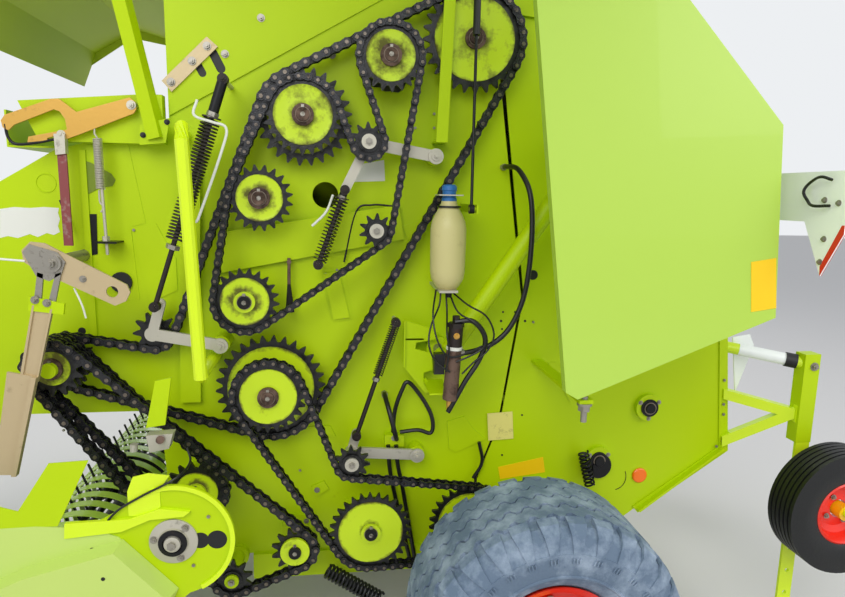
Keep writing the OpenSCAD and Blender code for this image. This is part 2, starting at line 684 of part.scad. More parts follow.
// Galvanised crank and its long flat rod
CRANK = [[1640, 1712], [1601, 1716], [1575, 1690], [1578, 1655], [1612, 1630], [1790, 1540], [1833, 1518],
    [1866, 1532], [1880, 1560], [1872, 1584], [1680, 1690]];
module bell_crank() color(STEEL) {
    y0 = -row_a - 90;
    difference() {
        plate(CRANK, y0, 8);
        disc([1827, 1562], y0 - 1, 10, 36);
    }
    disc([1661, 1652], y0 - 20, 20 - y0 - wall_out, 40);
    link([1541, 1298], [1650, 1660], 54, y0 - 7, 8);
    link([1541, 1298], [1490, 985], 70, y0 - 14, 8);
}
module hydraulic_hoses() color(BLACK) {
    y = -row_a - 82;
    difference() {
        hose([[3130, -wall_out, 1985], [3130, -wall_out - 60, 1985], [3145, y + 90, 1972],
            [3168, y + 25, 1900], [3178, y + 8, 1790], [3172, y, 1640], [3152, y, 1520], [3107, y, 1425],
            [3045, y, 1372], [2975, y, 1349], [2925, y, 1345]], 18);
        oil_pump();
    }
    hose([[2700, -wall_out, 1130], [2700, -wall_out - 40, 1130], [2715, -row_c - 40, 1080],
        [2735, -row_c - 40, 1000], [2745, -wall_out - 40, 960], [2745, -wall_out, 960]], 18);
}

// Hood over the net box: a bent sheet that swings on the upper cross tube
HOOD_AXIS = [2005, 2530];
hood_pin = 19;
module hood_shape() {
    w = wall_out - 20;
    translate([0, w, 0]) rotate([90, 0, 0]) linear_extrude(2 * w)
        polygon([[HOOD_AXIS[0] + 10, HOOD_AXIS[1] + 22], [1500, HOOD_AXIS[1] - 40],
            [1360, 2300], [1360, 2120], [1360 + sheet, 2120], [1360 + sheet, 2298],
            [1502, HOOD_AXIS[1] - 44], [HOOD_AXIS[0] + 10, HOOD_AXIS[1] + 22 - sheet]]);
    for (y = [-w, w - sheet]) plate([[HOOD_AXIS[0] - 30, HOOD_AXIS[1] + 16],
        [1500, HOOD_AXIS[1] - 42], [1361, 2299], [1361, 2230], [1500, 2440]], y, sheet);
    for (s = [-1, 1]) ring(HOOD_AXIS, s > 0 ? 302 : -358, 56, 40, hood_pin + 1);
}
module net_hood() color(GREEN)
    translate([HOOD_AXIS[0], 0, HOOD_AXIS[1]]) rotate([0, hood_open, 0])
        translate([-HOOD_AXIS[0], 0, -HOOD_AXIS[1]]) hood_shape();

// Side cover, drawn closed: top flange, face with a bent lower edge, and ribs
COVER = [[1985, 1080], [1985, 2660], [3020, 2660], [3020, 2400], [3190, 1290], [3120, 1080]];
COVER_AXIS = [wall_out + 60, 2655];
cover_pin = 11;
module cover_shape() {
    // Written for the right side, at +Y
    plate(COVER, cover_y - sheet, sheet);
    box(1985, 3015, COVER_AXIS[0], cover_y - e, 2660 - sheet, 2660);
    box(1985, 1985 + sheet, COVER_AXIS[0] + 90, cover_y - e, 2300, 2659);
    box(1985, 3120, cover_y - 40, cover_y - e, 1080, 1080 + sheet);
    for (x = [2300, 2700]) box(x, x + 30, cover_y - 24, cover_y - sheet + e, 1084, 2650);
    // Lug of the gas strut under the flange
    box(3006, 3012, 1030, 1080, 2580, 2658);
    translate([1985, COVER_AXIS[0], COVER_AXIS[1] - 5]) rotate([0, 90, 0]) difference() {
        cylinder(d = 20, h = 1030);
        translate([0, 0, -1]) cylinder(d = cover_pin + 1, h = 1032);
    }
}
module side_cover_right() color(PALE) cover_shape();
module side_cover_left() color(PALE) mirror([0, 1, 0])
    translate([0, COVER_AXIS[0], COVER_AXIS[1] - 5]) rotate([cover_open, 0, 0])
        translate([0, -COVER_AXIS[0], 5 - COVER_AXIS[1]]) cover_shape();

// Feed rotor: a tube with five rows of tines
module feed_rotor() color(STEEL) {
    half = chamber_w / 2 - 5;
    disc(S6, -half, 2 * half, 150);
    disc(S6, -wall_out - 15, 2 * wall_out + 30, shaft_d - e);
    for (i = [0:15]) translate([S6[0], -half + 40 + i * (2 * half - 80) / 15, S6[1]])
        rotate([90, i * 22, 0]) linear_extrude(8)
            polygon([for (k = [0:3]) for (s = [[30, 70], [6, rotor_r - 1], [0, rotor_r], [-18, 70]])
                s[1] * [cos(90 * k + s[0]), sin(90 * k + s[0])]]);
}

// Pickup: side plates from its pivot to the reel, a cross tube and guards
pick_out = pickup_w / 2;
pick_pivot = pick_out - 30;
strip_angle = 36;
strip_tube_d = 56;
STRIP_TUBE = REEL + 300 * [cos(strip_angle), sin(strip_angle)];
module pickup_frame() color(PALE) {
    for (s = [-1, 1]) {
        y0 = s > 0 ? pick_out - 60 : -pick_out + 54;
        difference() {
            union() {
                disc(PU, y0, 6, 366);
                plate([[1990, 990], [1640, 800], [1380, 640], [1340, 420], [1600, 300], [1800, 420],
                    [2080, 650]], y0, 6);
            }
            disc(PU, y0 - 1, 8, shaft_d + 1);
            disc(REEL, y0 - 1, 8, 62);
        }
        // Drive guard outside the plate
        plate([[1980, 870], [1500, 740], [1440, 560], [1560, 470], [1760, 520], [2000, 680]],
            s > 0 ? y0 + 5 : y0 - 59, 60);
        // Pivot tube
        ring(PU, s > 0 ? y0 - 90 : y0 + 5, 91, 86, shaft_d + 1);
    }
    // Cross tube behind the reel, which carries the strippers
    ring(STRIP_TUBE, -pick_out + 59, 2 * pick_out - 118, strip_tube_d, strip_tube_d - 10);
}
// Bent strips that the tines pass between
module strippers() color(PALE) {
    n = 27;
    r = tine_r - 55;
    for (i = [0:n - 1]) translate([REEL[0], -pick_out + 80 + i * (2 * pick_out - 160) / (n - 1), REEL[1]])
        translate([0, 20, 0]) rotate([90, 0, 0]) linear_extrude(40) difference() {
            union() {
                circle(r = r);
                rotate(strip_angle) translate([0, -14]) square([300, 28]);
            }
            circle(r = r - 3);
            translate(STRIP_TUBE - REEL) circle(d = strip_tube_d);
            rotate(-150) square(2 * r);
        }
}
module reel() color(BLACK) {
    disc(REEL, -pick_out + 62, 2 * pick_out - 124, 90);
    disc(REEL, -pick_out + 55, 2 * pick_out - 110, 60);
    n = 26;
    for (k = [0:3]) let (b = REEL + 120 * [cos(90 * k + 20), sin(90 * k + 20)]) {
        disc(b, -pick_out + 90, 2 * pick_out - 180, 28);
        for (i = [0:n - 1]) translate([b[0], -pick_out + 80 + (i + 0.5) * (2 * pick_out - 160) / n, b[1]])
            rotate([0, -(90 * k + 20), 0]) translate([0, -tine_d / 2, -tine_d / 2])
                cube([tine_r - 120, tine_d, tine_d]);
    }
    for (y = [-pick_out + 90, -6, pick_out - 102]) disc(REEL, y, 12, 290);
}

// Tailgate: two walls, a folded skin and cross members
TAIL = [[3082, 2600], [3480, 2600], [3960, 2110], [4085, 1330], [4110, 863], [3758, 606],
    [3675, 548], [3074, 548], [3074, 765], [3160, 1000], [3233, 1500]];
module tailgate_shell() color(GREEN) {
    for (s = [-1, 1]) {
        difference() {
            plate(TAIL, s > 0 ? wall_in : -wall_out, wall_t);
            for (a = tail_angles) disc(tail_c(a), s > 0 ? wall_in - 5 : -wall_out - 5, wall_t + 10, shaft_d);
        }
        for (a = tail_angles) ring(tail_c(a), s > 0 ? wall_out - e : -wall_out - 20, 20 + e, 110, shaft_d);
        // Hinge arm over the pivot
        difference() {
            union() {
                plate([[2950, 2600], [3110, 2520], [3300, 2500], [3300, 2596], [3030, 2690], [2960, 2690]],
                    s > 0 ? wall_out + 6 : -wall_out - 16, 10);
                plate([[3110, 2520], [3300, 2500], [3300, 2590], [3110, 2590]],
                    s > 0 ? wall_out - e : -wall_out - 7, 7);
            }
            disc(PIVOT, -wall_out - 50, 2 * wall_out + 100, 39);
        }
        // Lower flange
        plate([[4110, 863], [3758, 606], [3764, 598], [4118, 858]], s > 0 ? wall_out - e : -wall_out - 30, 30);
        // Boss that faces the eye of the cylinder rod
        disc(CYL_EYE, s > 0 ? wall_out - e : -row_b, row_b - wall_out + e, 60);
    }
    // Skin round the rear
    translate([0, wall_in + e, 0]) rotate([90, 0, 0]) linear_extrude(2 * wall_in + 2 * e)
        polygon([[3082, 2600], [3480, 2600], [3960, 2110], [4085, 1330], [4110, 863], [3758, 606],
            [3752, 606], [4106, 866], [4081, 1330], [3956, 2108], [3478, 2596], [3082, 2596]]);
}
// Brackets and pins that the rear side panels swing on
module panel_brackets() color(GREEN)
    for (s = [-1, 1], z = [1240, 2582]) {
        // The upper one starts on the ear of the pivot
        y0 = z < 2000 ? wall_out : wall_out + 16;
        box(3275, 3320, s > 0 ? y0 : -PANEL_AXIS[1] - 15, s > 0 ? PANEL_AXIS[1] + 15 : -y0, z, z + 12);
        translate([PANEL_AXIS[0], s * PANEL_AXIS[1], z < 2000 ? z : z - 60]) cylinder(d = 14, h = 70);
    }
// Boards with a pointed lower corner, each with a lamp on its rear
BOARD = [[980, 1970], [1300, 1970], [1300, 1790], [1229, 1661], [1142, 1820], [980, 1820]];
module lamp_boards() for (s = [-1, 1]) {
    color([0.85, 0.86, 0.87]) translate([3955, 0, 0]) rotate([90, 0, 90]) linear_extrude(4)
        polygon([for (p = BOARD) [s * p[0], p[1]]]);
    y0 = s > 0 ? 1010 : -1130;
    color(RED) box(3958, 3990, y0, y0 + 120, 1850, 1950);
    color(GREEN) box(3930, 3955, s > 0 ? wall_out : -1000, s > 0 ? 1000 : -wall_out, 1840, 1870);
}
// Posts of the stowed gauge wheels, with their tubes on the tailgate
post_x = 4370;
post_y = 760;
module gauge_posts() for (s = [-1, 1]) {
    y = s * post_y;
    color(GREEN) {
        difference() {
            box(post_x - 30, post_x + 30, y - 6, y + 6, 230, 1290);
            for (k = [0:9]) disc([post_x, 270 + 100 * k], y - 10, 20, 18);
        }
        difference() {
            union() {
                beam([4060, s * (wall_in - 20), 852], [post_x - 20, s * (post_y - 30), 1050], 40, 40, 4);
                beam([4060, s * (wall_in - 20), 1104], [post_x - 20, s * (post_y - 30), 1040], 40, 40, 4);
            }
            plate(TAIL, -wall_out - 100, 2 * wall_out + 200);
        }
        box(post_x - 35, post_x + 29, y < 0 ? y + 5 : y - 25, y < 0 ? y + 25 : y - 5, 1010, 1080);
    }
    color(STEEL) {
        difference() {
            bar([4060, s * (wall_in - 40), 1294], [post_x - 10, s * (post_y - 20), 1250], 46);
            plate(TAIL, -wall_out, 2 * wall_out);
        }
        box(post_x - 30, post_x + 20, y < 0 ? y + 5 : y - 25, y < 0 ? y + 25 : y - 5, 1225, 1275);
        // Stub that carries the wheel
        disc([post_x + 60, 720], y < 0 ? -990 : y, 230, 30);
        link([post_x, 720], [post_x + 60, 720], 50, y < 0 ? y - 18 : y + 6, 12);
    }
}
module small_wheel(s) {
    y = s * 900;
    c = [post_x + 60, 720];
    color(RUBBER) translate([c[0], y, c[1]]) rotate([90, 0, 0]) rotate_extrude($fn = 48)
        polygon([[120, -55], [200, -72], [232, -60], [240, -30], [240, 30], [232, 60], [200, 72], [120, 55]]);
    color(RED) translate([c[0], y, c[1]]) rotate([90, 0, 0]) difference() {
        union() {
            rotate_extrude() polygon([[112, -60], [119.5, -60], [119.5, 60], [112, 60]]);
            translate([0, 0, -8]) cylinder(r = 113, h = 8);
            translate([0, 0, -50]) cylinder(r = 32, h = 100);
        }
        translate([0, 0, -80]) cylinder(d = 31, h = 160);
    }
}
module gauge_wheel_left() small_wheel(-1);
module gauge_wheel_right() small_wheel(1);

// Rear side panel: a pressed sheet with returned edges, on a post along its front edge
PANEL = [[3045, 2570], [3380, 2570], [3844, 2105], [3890, 1518], [3254, 1267], [3215, 1290]];
PANEL_AXIS = [3297, cover_y - 30];
// A convex outline, given clockwise, moved inwards by d
function inward(u) = [u[1], -u[0]];
function inset(p, d) = let (n = len(p)) [for (i = [0:n - 1])
    let (b = p[i], m = inward(unit(b - p[(i + n - 1) % n])), k = inward(unit(p[(i + 1) % n] - b)))
        b + d / (1 + m * k) * (m + k)];
module panel(s) {
    mirror([0, s > 0 ? 0 : 1, 0]) {
        difference() {
            plate(PANEL, cover_y - 14, 32);
            plate(inset(PANEL, sheet), cover_y - 15, 33 - sheet);
        }
        // Hinge lugs
        for (z = [1300, 2545]) difference() {
            box(3270, 3324, PANEL_AXIS[1] - 16, cover_y + 17, z, z + 10);
            translate([PANEL_AXIS[0], PANEL_AXIS[1], z - 1]) cylinder(d = 15, h = 12);
        }
    }
}
module rear_panel_left() color(PALE) panel(-1);
module rear_panel_right() color(PALE) panel(1);

// Tailgate cylinders: barrel on the frame and rod to the tailgate
CYL_FOOT = [2900, 1310];
CYL_EYE = [3420, 2080];
cyl_dir = unit(CYL_EYE - CYL_FOOT);
barrel_len = 770;
cyl_y = row_a;
module cylinder_at(s) {
    y = s * cyl_y;
    foot = [CYL_FOOT[0], y, CYL_FOOT[1]];
    d3 = [cyl_dir[0], 0, cyl_dir[1]];
    color(GREEN) difference() {
        bar(foot + d3 * 30, foot + d3 * barrel_len, 66, 0);
        bar(foot + d3 * 70, foot + d3 * (barrel_len + 5), 50, 0);
    }
    color(STEEL) ring(CYL_FOOT, y - 20, 40, 70, 41);
}
module rod_at(s) {
    y = s * cyl_y;
    foot = [CYL_FOOT[0], y, CYL_FOOT[1]];
    eye = [CYL_EYE[0], y, CYL_EYE[1]];
    d3 = [cyl_dir[0], 0, cyl_dir[1]];
    color(STEEL) {
        bar(foot + d3 * 90, eye - d3 * 30, 36, 0);
        bar(foot + d3 * 80, foot + d3 * 110, 48, 0);
        disc(CYL_EYE, y - 20, 40, 70);
        // Pin that ends short of the tailgate's boss
        disc(CYL_EYE, s > 0 ? row_b + 6 : y - 28, row_a - row_b + 22, 40);
    }
}
module cylinder_left() cylinder_at(-1);
module rod_left() rod_at(-1);
// Gas strut of the open left cover
// How far outside the wall the gas strut's two ends stand
strut_foot_out = 260;
strut_top_out = 70;
STRUT_FOOT = [2960, -wall_out - strut_foot_out, 1836];
STRUT_TOP = [2999, -wall_out - strut_top_out, 3030];
strut_dir = unit(STRUT_TOP - STRUT_FOOT);
strut_len = norm(STRUT_TOP - STRUT_FOOT);
module gas_strut_tube() color(BLACK) difference() {
    union() {
        bar(STRUT_FOOT + strut_dir * (strut_len - 640), STRUT_TOP - strut_dir * 36, 24);
        bar(STRUT_TOP - strut_dir * 38, STRUT_TOP, 10);
        // Ball end that stops short of the cover's lug
        translate(STRUT_TOP) rotate([0, 90, 0]) translate([0, 0, -8]) cylinder(d = 20, h = 9);
    }
    bar(STRUT_FOOT + strut_dir * (strut_len - 650), STRUT_FOOT + strut_dir * (strut_len - 50), 12);
}
module gas_strut_rod() color(STEEL) difference() {
    union() {
        bar(STRUT_FOOT + strut_dir * 12, STRUT_FOOT + strut_dir * (strut_len - 490), 10);
        translate(STRUT_FOOT - [8, 0, 0]) rotate([0, 90, 0]) cylinder(d = 30, h = 16);
    }
    translate(STRUT_FOOT - [20, 0, 0]) rotate([0, 90, 0]) cylinder(d = 13, h = 40);
}
module cylinder_right() cylinder_at(1);
module rod_right() rod_at(1);

// Road wheels
rim_r = 225;
module tyre(s) color(RUBBER) translate([axle_x, s * wheel_y, wheel_z]) rotate([90, 0, 0])
    rotate_extrude($fn = 64) {
        r = tyre_d / 2;
        w = tyre_w / 2;
        polygon([[rim_r - 18, -w * 0.72], [rim_r + 12, -w * 0.86], [r - 100, -w], [r - 42, -w * 0.97],
            [r - 8, -w * 0.80], [r, -w * 0.40], [r, w * 0.40], [r - 8, w * 0.80], [r - 42, w * 0.97],
            [r - 100, w], [rim_r + 12, w * 0.86], [rim_r - 18, w * 0.72]]);
    }
module rim(s) color(RED) translate([axle_x, s * wheel_y, wheel_z]) rotate([90, 0, 0]) mirror([0, 0, s > 0 ? 1 : 0])
    difference() {
        union() {
            rotate_extrude() polygon([[rim_r - 26, -w_rim - 6], [rim_r, -w_rim - 22], [rim_r, -w_rim - 16.5],
                [rim_r - 18.5, -w_rim], [rim_r - 18.5, w_rim], [rim_r, w_rim + 16.5], [rim_r, w_rim + 22],
                [rim_r - 26, w_rim + 6]]);
            translate([0, 0, 10]) cylinder(r = rim_r - 25, h = 10);
            cylinder(r = 90, h = 30);
            translate([0, 0, -55]) cylinder(r = 62, h = 165);
        }
        translate([0, 0, -60]) cylinder(d = 61, h = 150);
        for (k = [0:5]) rotate(60 * k) translate([80, 0, 5]) cylinder(d = 18, h = 60);
    }
w_rim = tyre_w / 2 * 0.74;
module tyre_left() tyre(-1);
module rim_left() rim(-1);
module tyre_right() tyre(1);
module rim_right() rim(1);

module at_ground() translate([0, 0, -hitch_h]) children();
at_ground() chassis();
at_ground() drawbar();
at_ground() hitch_eye();
at_ground() parking_jack();
at_ground() driveline();
at_ground() gearbox();
at_ground() side_wall_left();
at_ground() side_wall_right();
at_ground() cylinder_pins();
at_ground() front_frame();
at_ground() roof();
at_ground() front_rollers();
at_ground() main_chain();
at_ground() upper_chain();
at_ground() lower_chain();
at_ground() rotor_chain();
at_ground() pickup_chain();
at_ground() main_sprockets();
at_ground() upper_sprockets();
at_ground() lower_sprockets();
at_ground() chain_tensioners();
at_ground() spring_struts();
at_ground() guard_tube();
at_ground() oil_bottle();
at_ground() oil_pump();
at_ground() net_lever();
at_ground() bell_crank();
at_ground() hydraulic_hoses();
at_ground() net_hood();
at_ground() side_cover_left();
at_ground() side_cover_right();
at_ground() feed_rotor();
at_ground() pickup_frame();
at_ground() strippers();
at_ground() reel();
at_ground() tailgate_shell();
at_ground() panel_brackets();
at_ground() tailgate_rollers();
at_ground() lamp_boards();
at_ground() gauge_posts();
at_ground() gauge_wheel_left();
at_ground() gauge_wheel_right();
at_ground() rear_panel_left();
at_ground() rear_panel_right();
at_ground() gas_strut_tube();
at_ground() gas_strut_rod();
at_ground() cylinder_left();
at_ground() rod_left();
at_ground() cylinder_right();
at_ground() rod_right();
at_ground() tyre_left();
at_ground() rim_left();
at_ground() tyre_right();
at_ground() rim_right();
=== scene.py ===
"""Looks of a round baler with its left cover raised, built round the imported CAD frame."""

from __future__ import annotations

import logging
import math
from dataclasses import dataclass
from enum import Enum
from random import Random
from typing import Callable, Sequence

import bpy
from mathutils import Matrix, Vector
from mathutils.geometry import tessellate_polygon

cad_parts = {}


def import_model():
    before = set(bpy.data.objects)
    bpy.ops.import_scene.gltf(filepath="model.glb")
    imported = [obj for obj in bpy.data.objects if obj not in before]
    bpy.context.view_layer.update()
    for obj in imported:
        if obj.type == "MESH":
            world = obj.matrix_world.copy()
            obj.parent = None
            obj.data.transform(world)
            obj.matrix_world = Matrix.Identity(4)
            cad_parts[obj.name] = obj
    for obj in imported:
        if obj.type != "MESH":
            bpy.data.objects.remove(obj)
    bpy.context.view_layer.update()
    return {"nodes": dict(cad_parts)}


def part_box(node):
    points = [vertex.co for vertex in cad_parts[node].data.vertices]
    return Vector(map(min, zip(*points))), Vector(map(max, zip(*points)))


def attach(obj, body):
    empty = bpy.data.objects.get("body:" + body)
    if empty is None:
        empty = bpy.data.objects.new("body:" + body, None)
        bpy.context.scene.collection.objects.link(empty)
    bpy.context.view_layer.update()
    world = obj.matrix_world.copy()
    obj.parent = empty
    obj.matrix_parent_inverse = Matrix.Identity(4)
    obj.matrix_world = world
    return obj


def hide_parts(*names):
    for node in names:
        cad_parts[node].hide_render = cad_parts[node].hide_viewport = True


LOG = logging.getLogger("baler")
# The hitch eye's height above the ground in millimetres, and the photograph's size in pixels.
HITCH_HEIGHT = 450.0
PHOTO_WIDTH = 845
PHOTO_HEIGHT = 597
ACROSS = Vector((0, 1, 0))
OUT = -ACROSS
UP = Vector((0, 0, 1))
Point2 = tuple[float, float]
Point3 = tuple[float, float, float]
Outline = tuple[Point2, ...]
# A pixel of the photograph, across and down, and the plane y in millimetres on which it lies.
Pixel = tuple[float, float, float]
Route = tuple[Pixel, ...]
Colour = tuple[float, float, float]
Materials = dict[str, bpy.types.Material]


def at(x: float, y: float, z: float) -> Vector:
    """A point from millimetres: x behind the hitch eye, y to the right, z above the ground."""
    return Vector((x, y, z - HITCH_HEIGHT)) / 1000.0


def spoke(radius: float, angle: float, y: float = 0.0) -> Vector:
    """A radius at an angle in the side view, from rearwards towards up, with a step along y."""
    return Vector((radius * math.cos(angle), y, radius * math.sin(angle)))


def turns(count: int, first: float = 0.0) -> list[float]:
    """Angles in radians, spaced evenly round a circle from the first, which is in degrees."""
    return [math.radians(first) + 2 * math.pi * k / count for k in range(count)]


def mirrored(profile: Sequence[Point2]) -> list[Point2]:
    """The other half of a profile that is the same on both sides of the middle."""
    return [(-y, r) for y, r in reversed(profile)]


def linear(srgb: Sequence[float]) -> tuple[float, float, float, float]:
    """Turns a screen colour from 0 to 1 into the linear colour of a shader socket."""
    out = [c / 12.92 if c <= 0.04045 else ((c + 0.055) / 1.055) ** 2.4 for c in srgb]
    return (out[0], out[1], out[2], 1.0)


class Row(Enum):
    """Planes of the chain rows, as distances in millimetres to the left of the middle."""

    INNER = 678.0
    MIDDLE = 728.0
    OUTER = 778.0


class Side(Enum):
    """Left and right of the machine, as the sign of y."""

    LEFT = -1
    RIGHT = 1

    @property
    def word(self) -> str:
        """The side's name as the bodies and nodes spell it."""
        return "left" if self is Side.LEFT else "right"


# Shafts of the left wall: millimetres behind the hitch eye, and above the ground.
SHAFTS: dict[str, Point2] = {
    "upper_front": (2266, 1858),
    "upper": (2413, 2133),
    "middle": (2209, 1506),
    "lower_drive": (2286, 1181),
    "bottom_front": (2642, 655),
    "rotor": (2369, 600),
    "idler_top": (2631, 2053),
    "idler_mid": (2659, 1753),
    "top": (2703, 2334),
    "rear_top": (2997, 2413),
    "idler_low": (2573, 925),
    "gearbox": (1598, 1295),
    "idler_main": (1896, 1391),
    "bottom_rear": (3010, 670),
    "idler_rotor": (2145, 500),
    "pickup": (2023, 816),
}
# Outer face of the side walls, and the ring of the tailgate's rollers, in millimetres and degrees.
WALL_OUT = 620.0
CHAMBER: Point2 = (3060, 1510)
TAIL_RING = 850.0
TAIL_ANGLES = (70, 49.5, 29, 8.5, -12, -33, -53, -72)


@dataclass
class Studio:
    """Floor, light and the camera at the photograph's place.

    Lengths are in metres and angles in degrees, the sensor in millimetres.
    """

    camera_at: tuple[float, float, float] = (2.52, -2.90, 1.427)
    pitch: float = 9.4
    turn: float = -8.0
    roll: float = 1.1
    focal_px: float = 622.0
    sensor: float = 36.0
    sky: Colour = (0.93, 0.95, 0.98)
    sky_strength: float = 0.62
    backdrop: Colour = (0.93, 0.94, 0.95)
    floor: Colour = (0.86, 0.85, 0.84)
    floor_half: float = 30.0
    floor_drop: float = 0.001

    def build(self) -> None:
        """Makes the stage."""
        self._camera()
        self._world()
        self._floor()
        self._lamps()
        bpy.context.scene.view_settings.view_transform = "Standard"

    def axes(self) -> tuple[Vector, Vector, Vector]:
        """The camera's right, up and forward directions."""
        p, w, r = (math.radians(a) for a in (self.pitch, self.turn, self.roll))
        ahead = Vector((-math.sin(w) * math.cos(p), math.cos(w) * math.cos(p), -math.sin(p)))
        level = Vector((math.cos(w), math.sin(w), 0))
        up = level.cross(ahead)
        right = level * math.cos(r) + up * math.sin(r)
        return right, up * math.cos(r) - level * math.sin(r), ahead

    def _camera(self) -> None:
        """Sets the camera from its angles and its focal length in photo pixels."""
        right, top, ahead = self.axes()
        cam = bpy.data.objects.new("camera", bpy.data.cameras.new("camera"))
        cam.data.sensor_width = self.sensor
        cam.data.lens = self.focal_px * self.sensor / PHOTO_WIDTH
        cam.data.clip_end = 100.0
        turned = Matrix((right, top, -ahead)).transposed().to_4x4()
        cam.matrix_world = Matrix.Translation(self.camera_at) @ turned
        bpy.context.scene.collection.objects.link(cam)
        bpy.context.scene.camera = cam

    def _world(self) -> None:
        """A pale overcast sky that lights the machine, and a plain one that is seen behind it."""
        world = bpy.data.worlds.new("sky")
        world.use_nodes = True
        tree = world.node_tree
        light = tree.nodes["Background"]
        seen = tree.nodes.new("ShaderNodeBackground")
        for node, colour, strength in ((light, self.sky, self.sky_strength), (seen, self.backdrop, 1.0)):
            node.inputs["Color"].default_value = linear(colour)
            node.inputs["Strength"].default_value = strength
        path = tree.nodes.new("ShaderNodeLightPath")
        straight = path.outputs["Is Camera Ray"]
        for ray in ("Is Glossy Ray", "Is Transmission Ray"):
            either = tree.nodes.new("ShaderNodeMath")
            either.operation = "MAXIMUM"
            tree.links.new(straight, either.inputs[0])
            tree.links.new(path.outputs[ray], either.inputs[1])
            straight = either.outputs[0]
        mix = tree.nodes.new("ShaderNodeMixShader")
        for k, source in enumerate((straight, light.outputs[0], seen.outputs[0])):
            tree.links.new(source, mix.inputs[k])
        tree.links.new(mix.outputs[0], tree.nodes["World Output"].inputs["Surface"])
        bpy.context.scene.world = world

    def _floor(self) -> None:
        """A wide plain floor a little below the wheels."""
        s = self.floor_half
        z = -HITCH_HEIGHT / 1000 - self.floor_drop
        data = bpy.data.meshes.new("floor")
        data.from_pydata([(-s, -s, z), (s, -s, z), (s, s, z), (-s, s, z)], [], [(0, 1, 2, 3)])
        mat = bpy.data.materials.new("floor")
        mat.use_nodes = True
        shader = mat.node_tree.nodes["Principled BSDF"]
        shader.inputs["Base Color"].default_value = linear(self.floor)
        shader.inputs["Roughness"].default_value = 0.9
        data.materials.append(mat)
        floor = bpy.data.objects.new("floor", data)
        bpy.context.scene.collection.objects.link(floor)

    @staticmethod
    def _lamps() -> None:
        """Two large soft lamps on the chain side and one opposite."""
        # Name, place and aim in metres, power in watts, and size in metres.
        for name, place, aim, energy, size in (
            ("key", (0.5, -6.5, 5.5), (2.7, 0, 1.0), 330.0, 5.0),
            ("fill", (7.5, -5.0, 4.0), (3.0, 0, 0.8), 120.0, 4.0),
            ("back", (2.0, 7.0, 5.5), (2.5, 0, 0.8), 220.0, 5.0),
        ):
            lamp = bpy.data.lights.new(name, "AREA")
            lamp.energy = energy
            lamp.size = size
            obj = bpy.data.objects.new(name, lamp)
            obj.location = place
            obj.rotation_euler = (Vector(aim) - Vector(place)).to_track_quat("-Z", "Y").to_euler()
            bpy.context.scene.collection.objects.link(obj)


class Sight:
    """Turns a pixel of the photograph into the point where its ray meets an upright plane."""

    def __init__(self, studio: Studio) -> None:
        """Keeps the camera's place and axes."""
        self.eye = Vector(studio.camera_at)
        self.right, self.top, self.ahead = studio.axes()
        self.focal = studio.focal_px

    def spot(self, px: float, py: float, y: float) -> Vector:
        """Point in the row frame, in metres, on the plane y in millimetres."""
        ray = self.ahead + self.right * ((px - PHOTO_WIDTH / 2) / self.focal)
        ray = ray + self.top * ((PHOTO_HEIGHT / 2 - py) / self.focal)
        return self.eye + ray * ((y / 1000 - self.eye.y) / ray.y)

    def flat(self, px: float, py: float, y: float) -> Point2:
        """The same point as x and height above the ground, in millimetres."""
        p = self.spot(px, py, y)
        return (p.x * 1000, p.z * 1000 + HITCH_HEIGHT)

    def shape(self, pixels: Sequence[Point2], y: float) -> list[Point2]:
        """An outline in millimetres from pixels."""
        return [self.flat(a, b, y) for a, b in pixels]

    def path(self, pixels: Sequence[Pixel]) -> list[Vector]:
        """A smooth line through pixels, each with its own plane."""
        return smooth([self.spot(*p) for p in pixels])


def smooth(points: Sequence[Vector], steps: int = 6) -> list[Vector]:
    """A Catmull-Rom curve through points."""
    out = []
    ends = [points[0] * 2 - points[1], *points, points[-1] * 2 - points[-2]]
    for i in range(1, len(ends) - 2):
        a, b, c, d = ends[i - 1:i + 3]
        for k in range(steps):
            s = k / steps
            out.append((b * 2 + (c - a) * s + (a * 2 - b * 5 + c * 4 - d) * s * s
                        + (b * 3 - a - c * 3 + d) * s ** 3) / 2)
    out.append(points[-1])
    return out


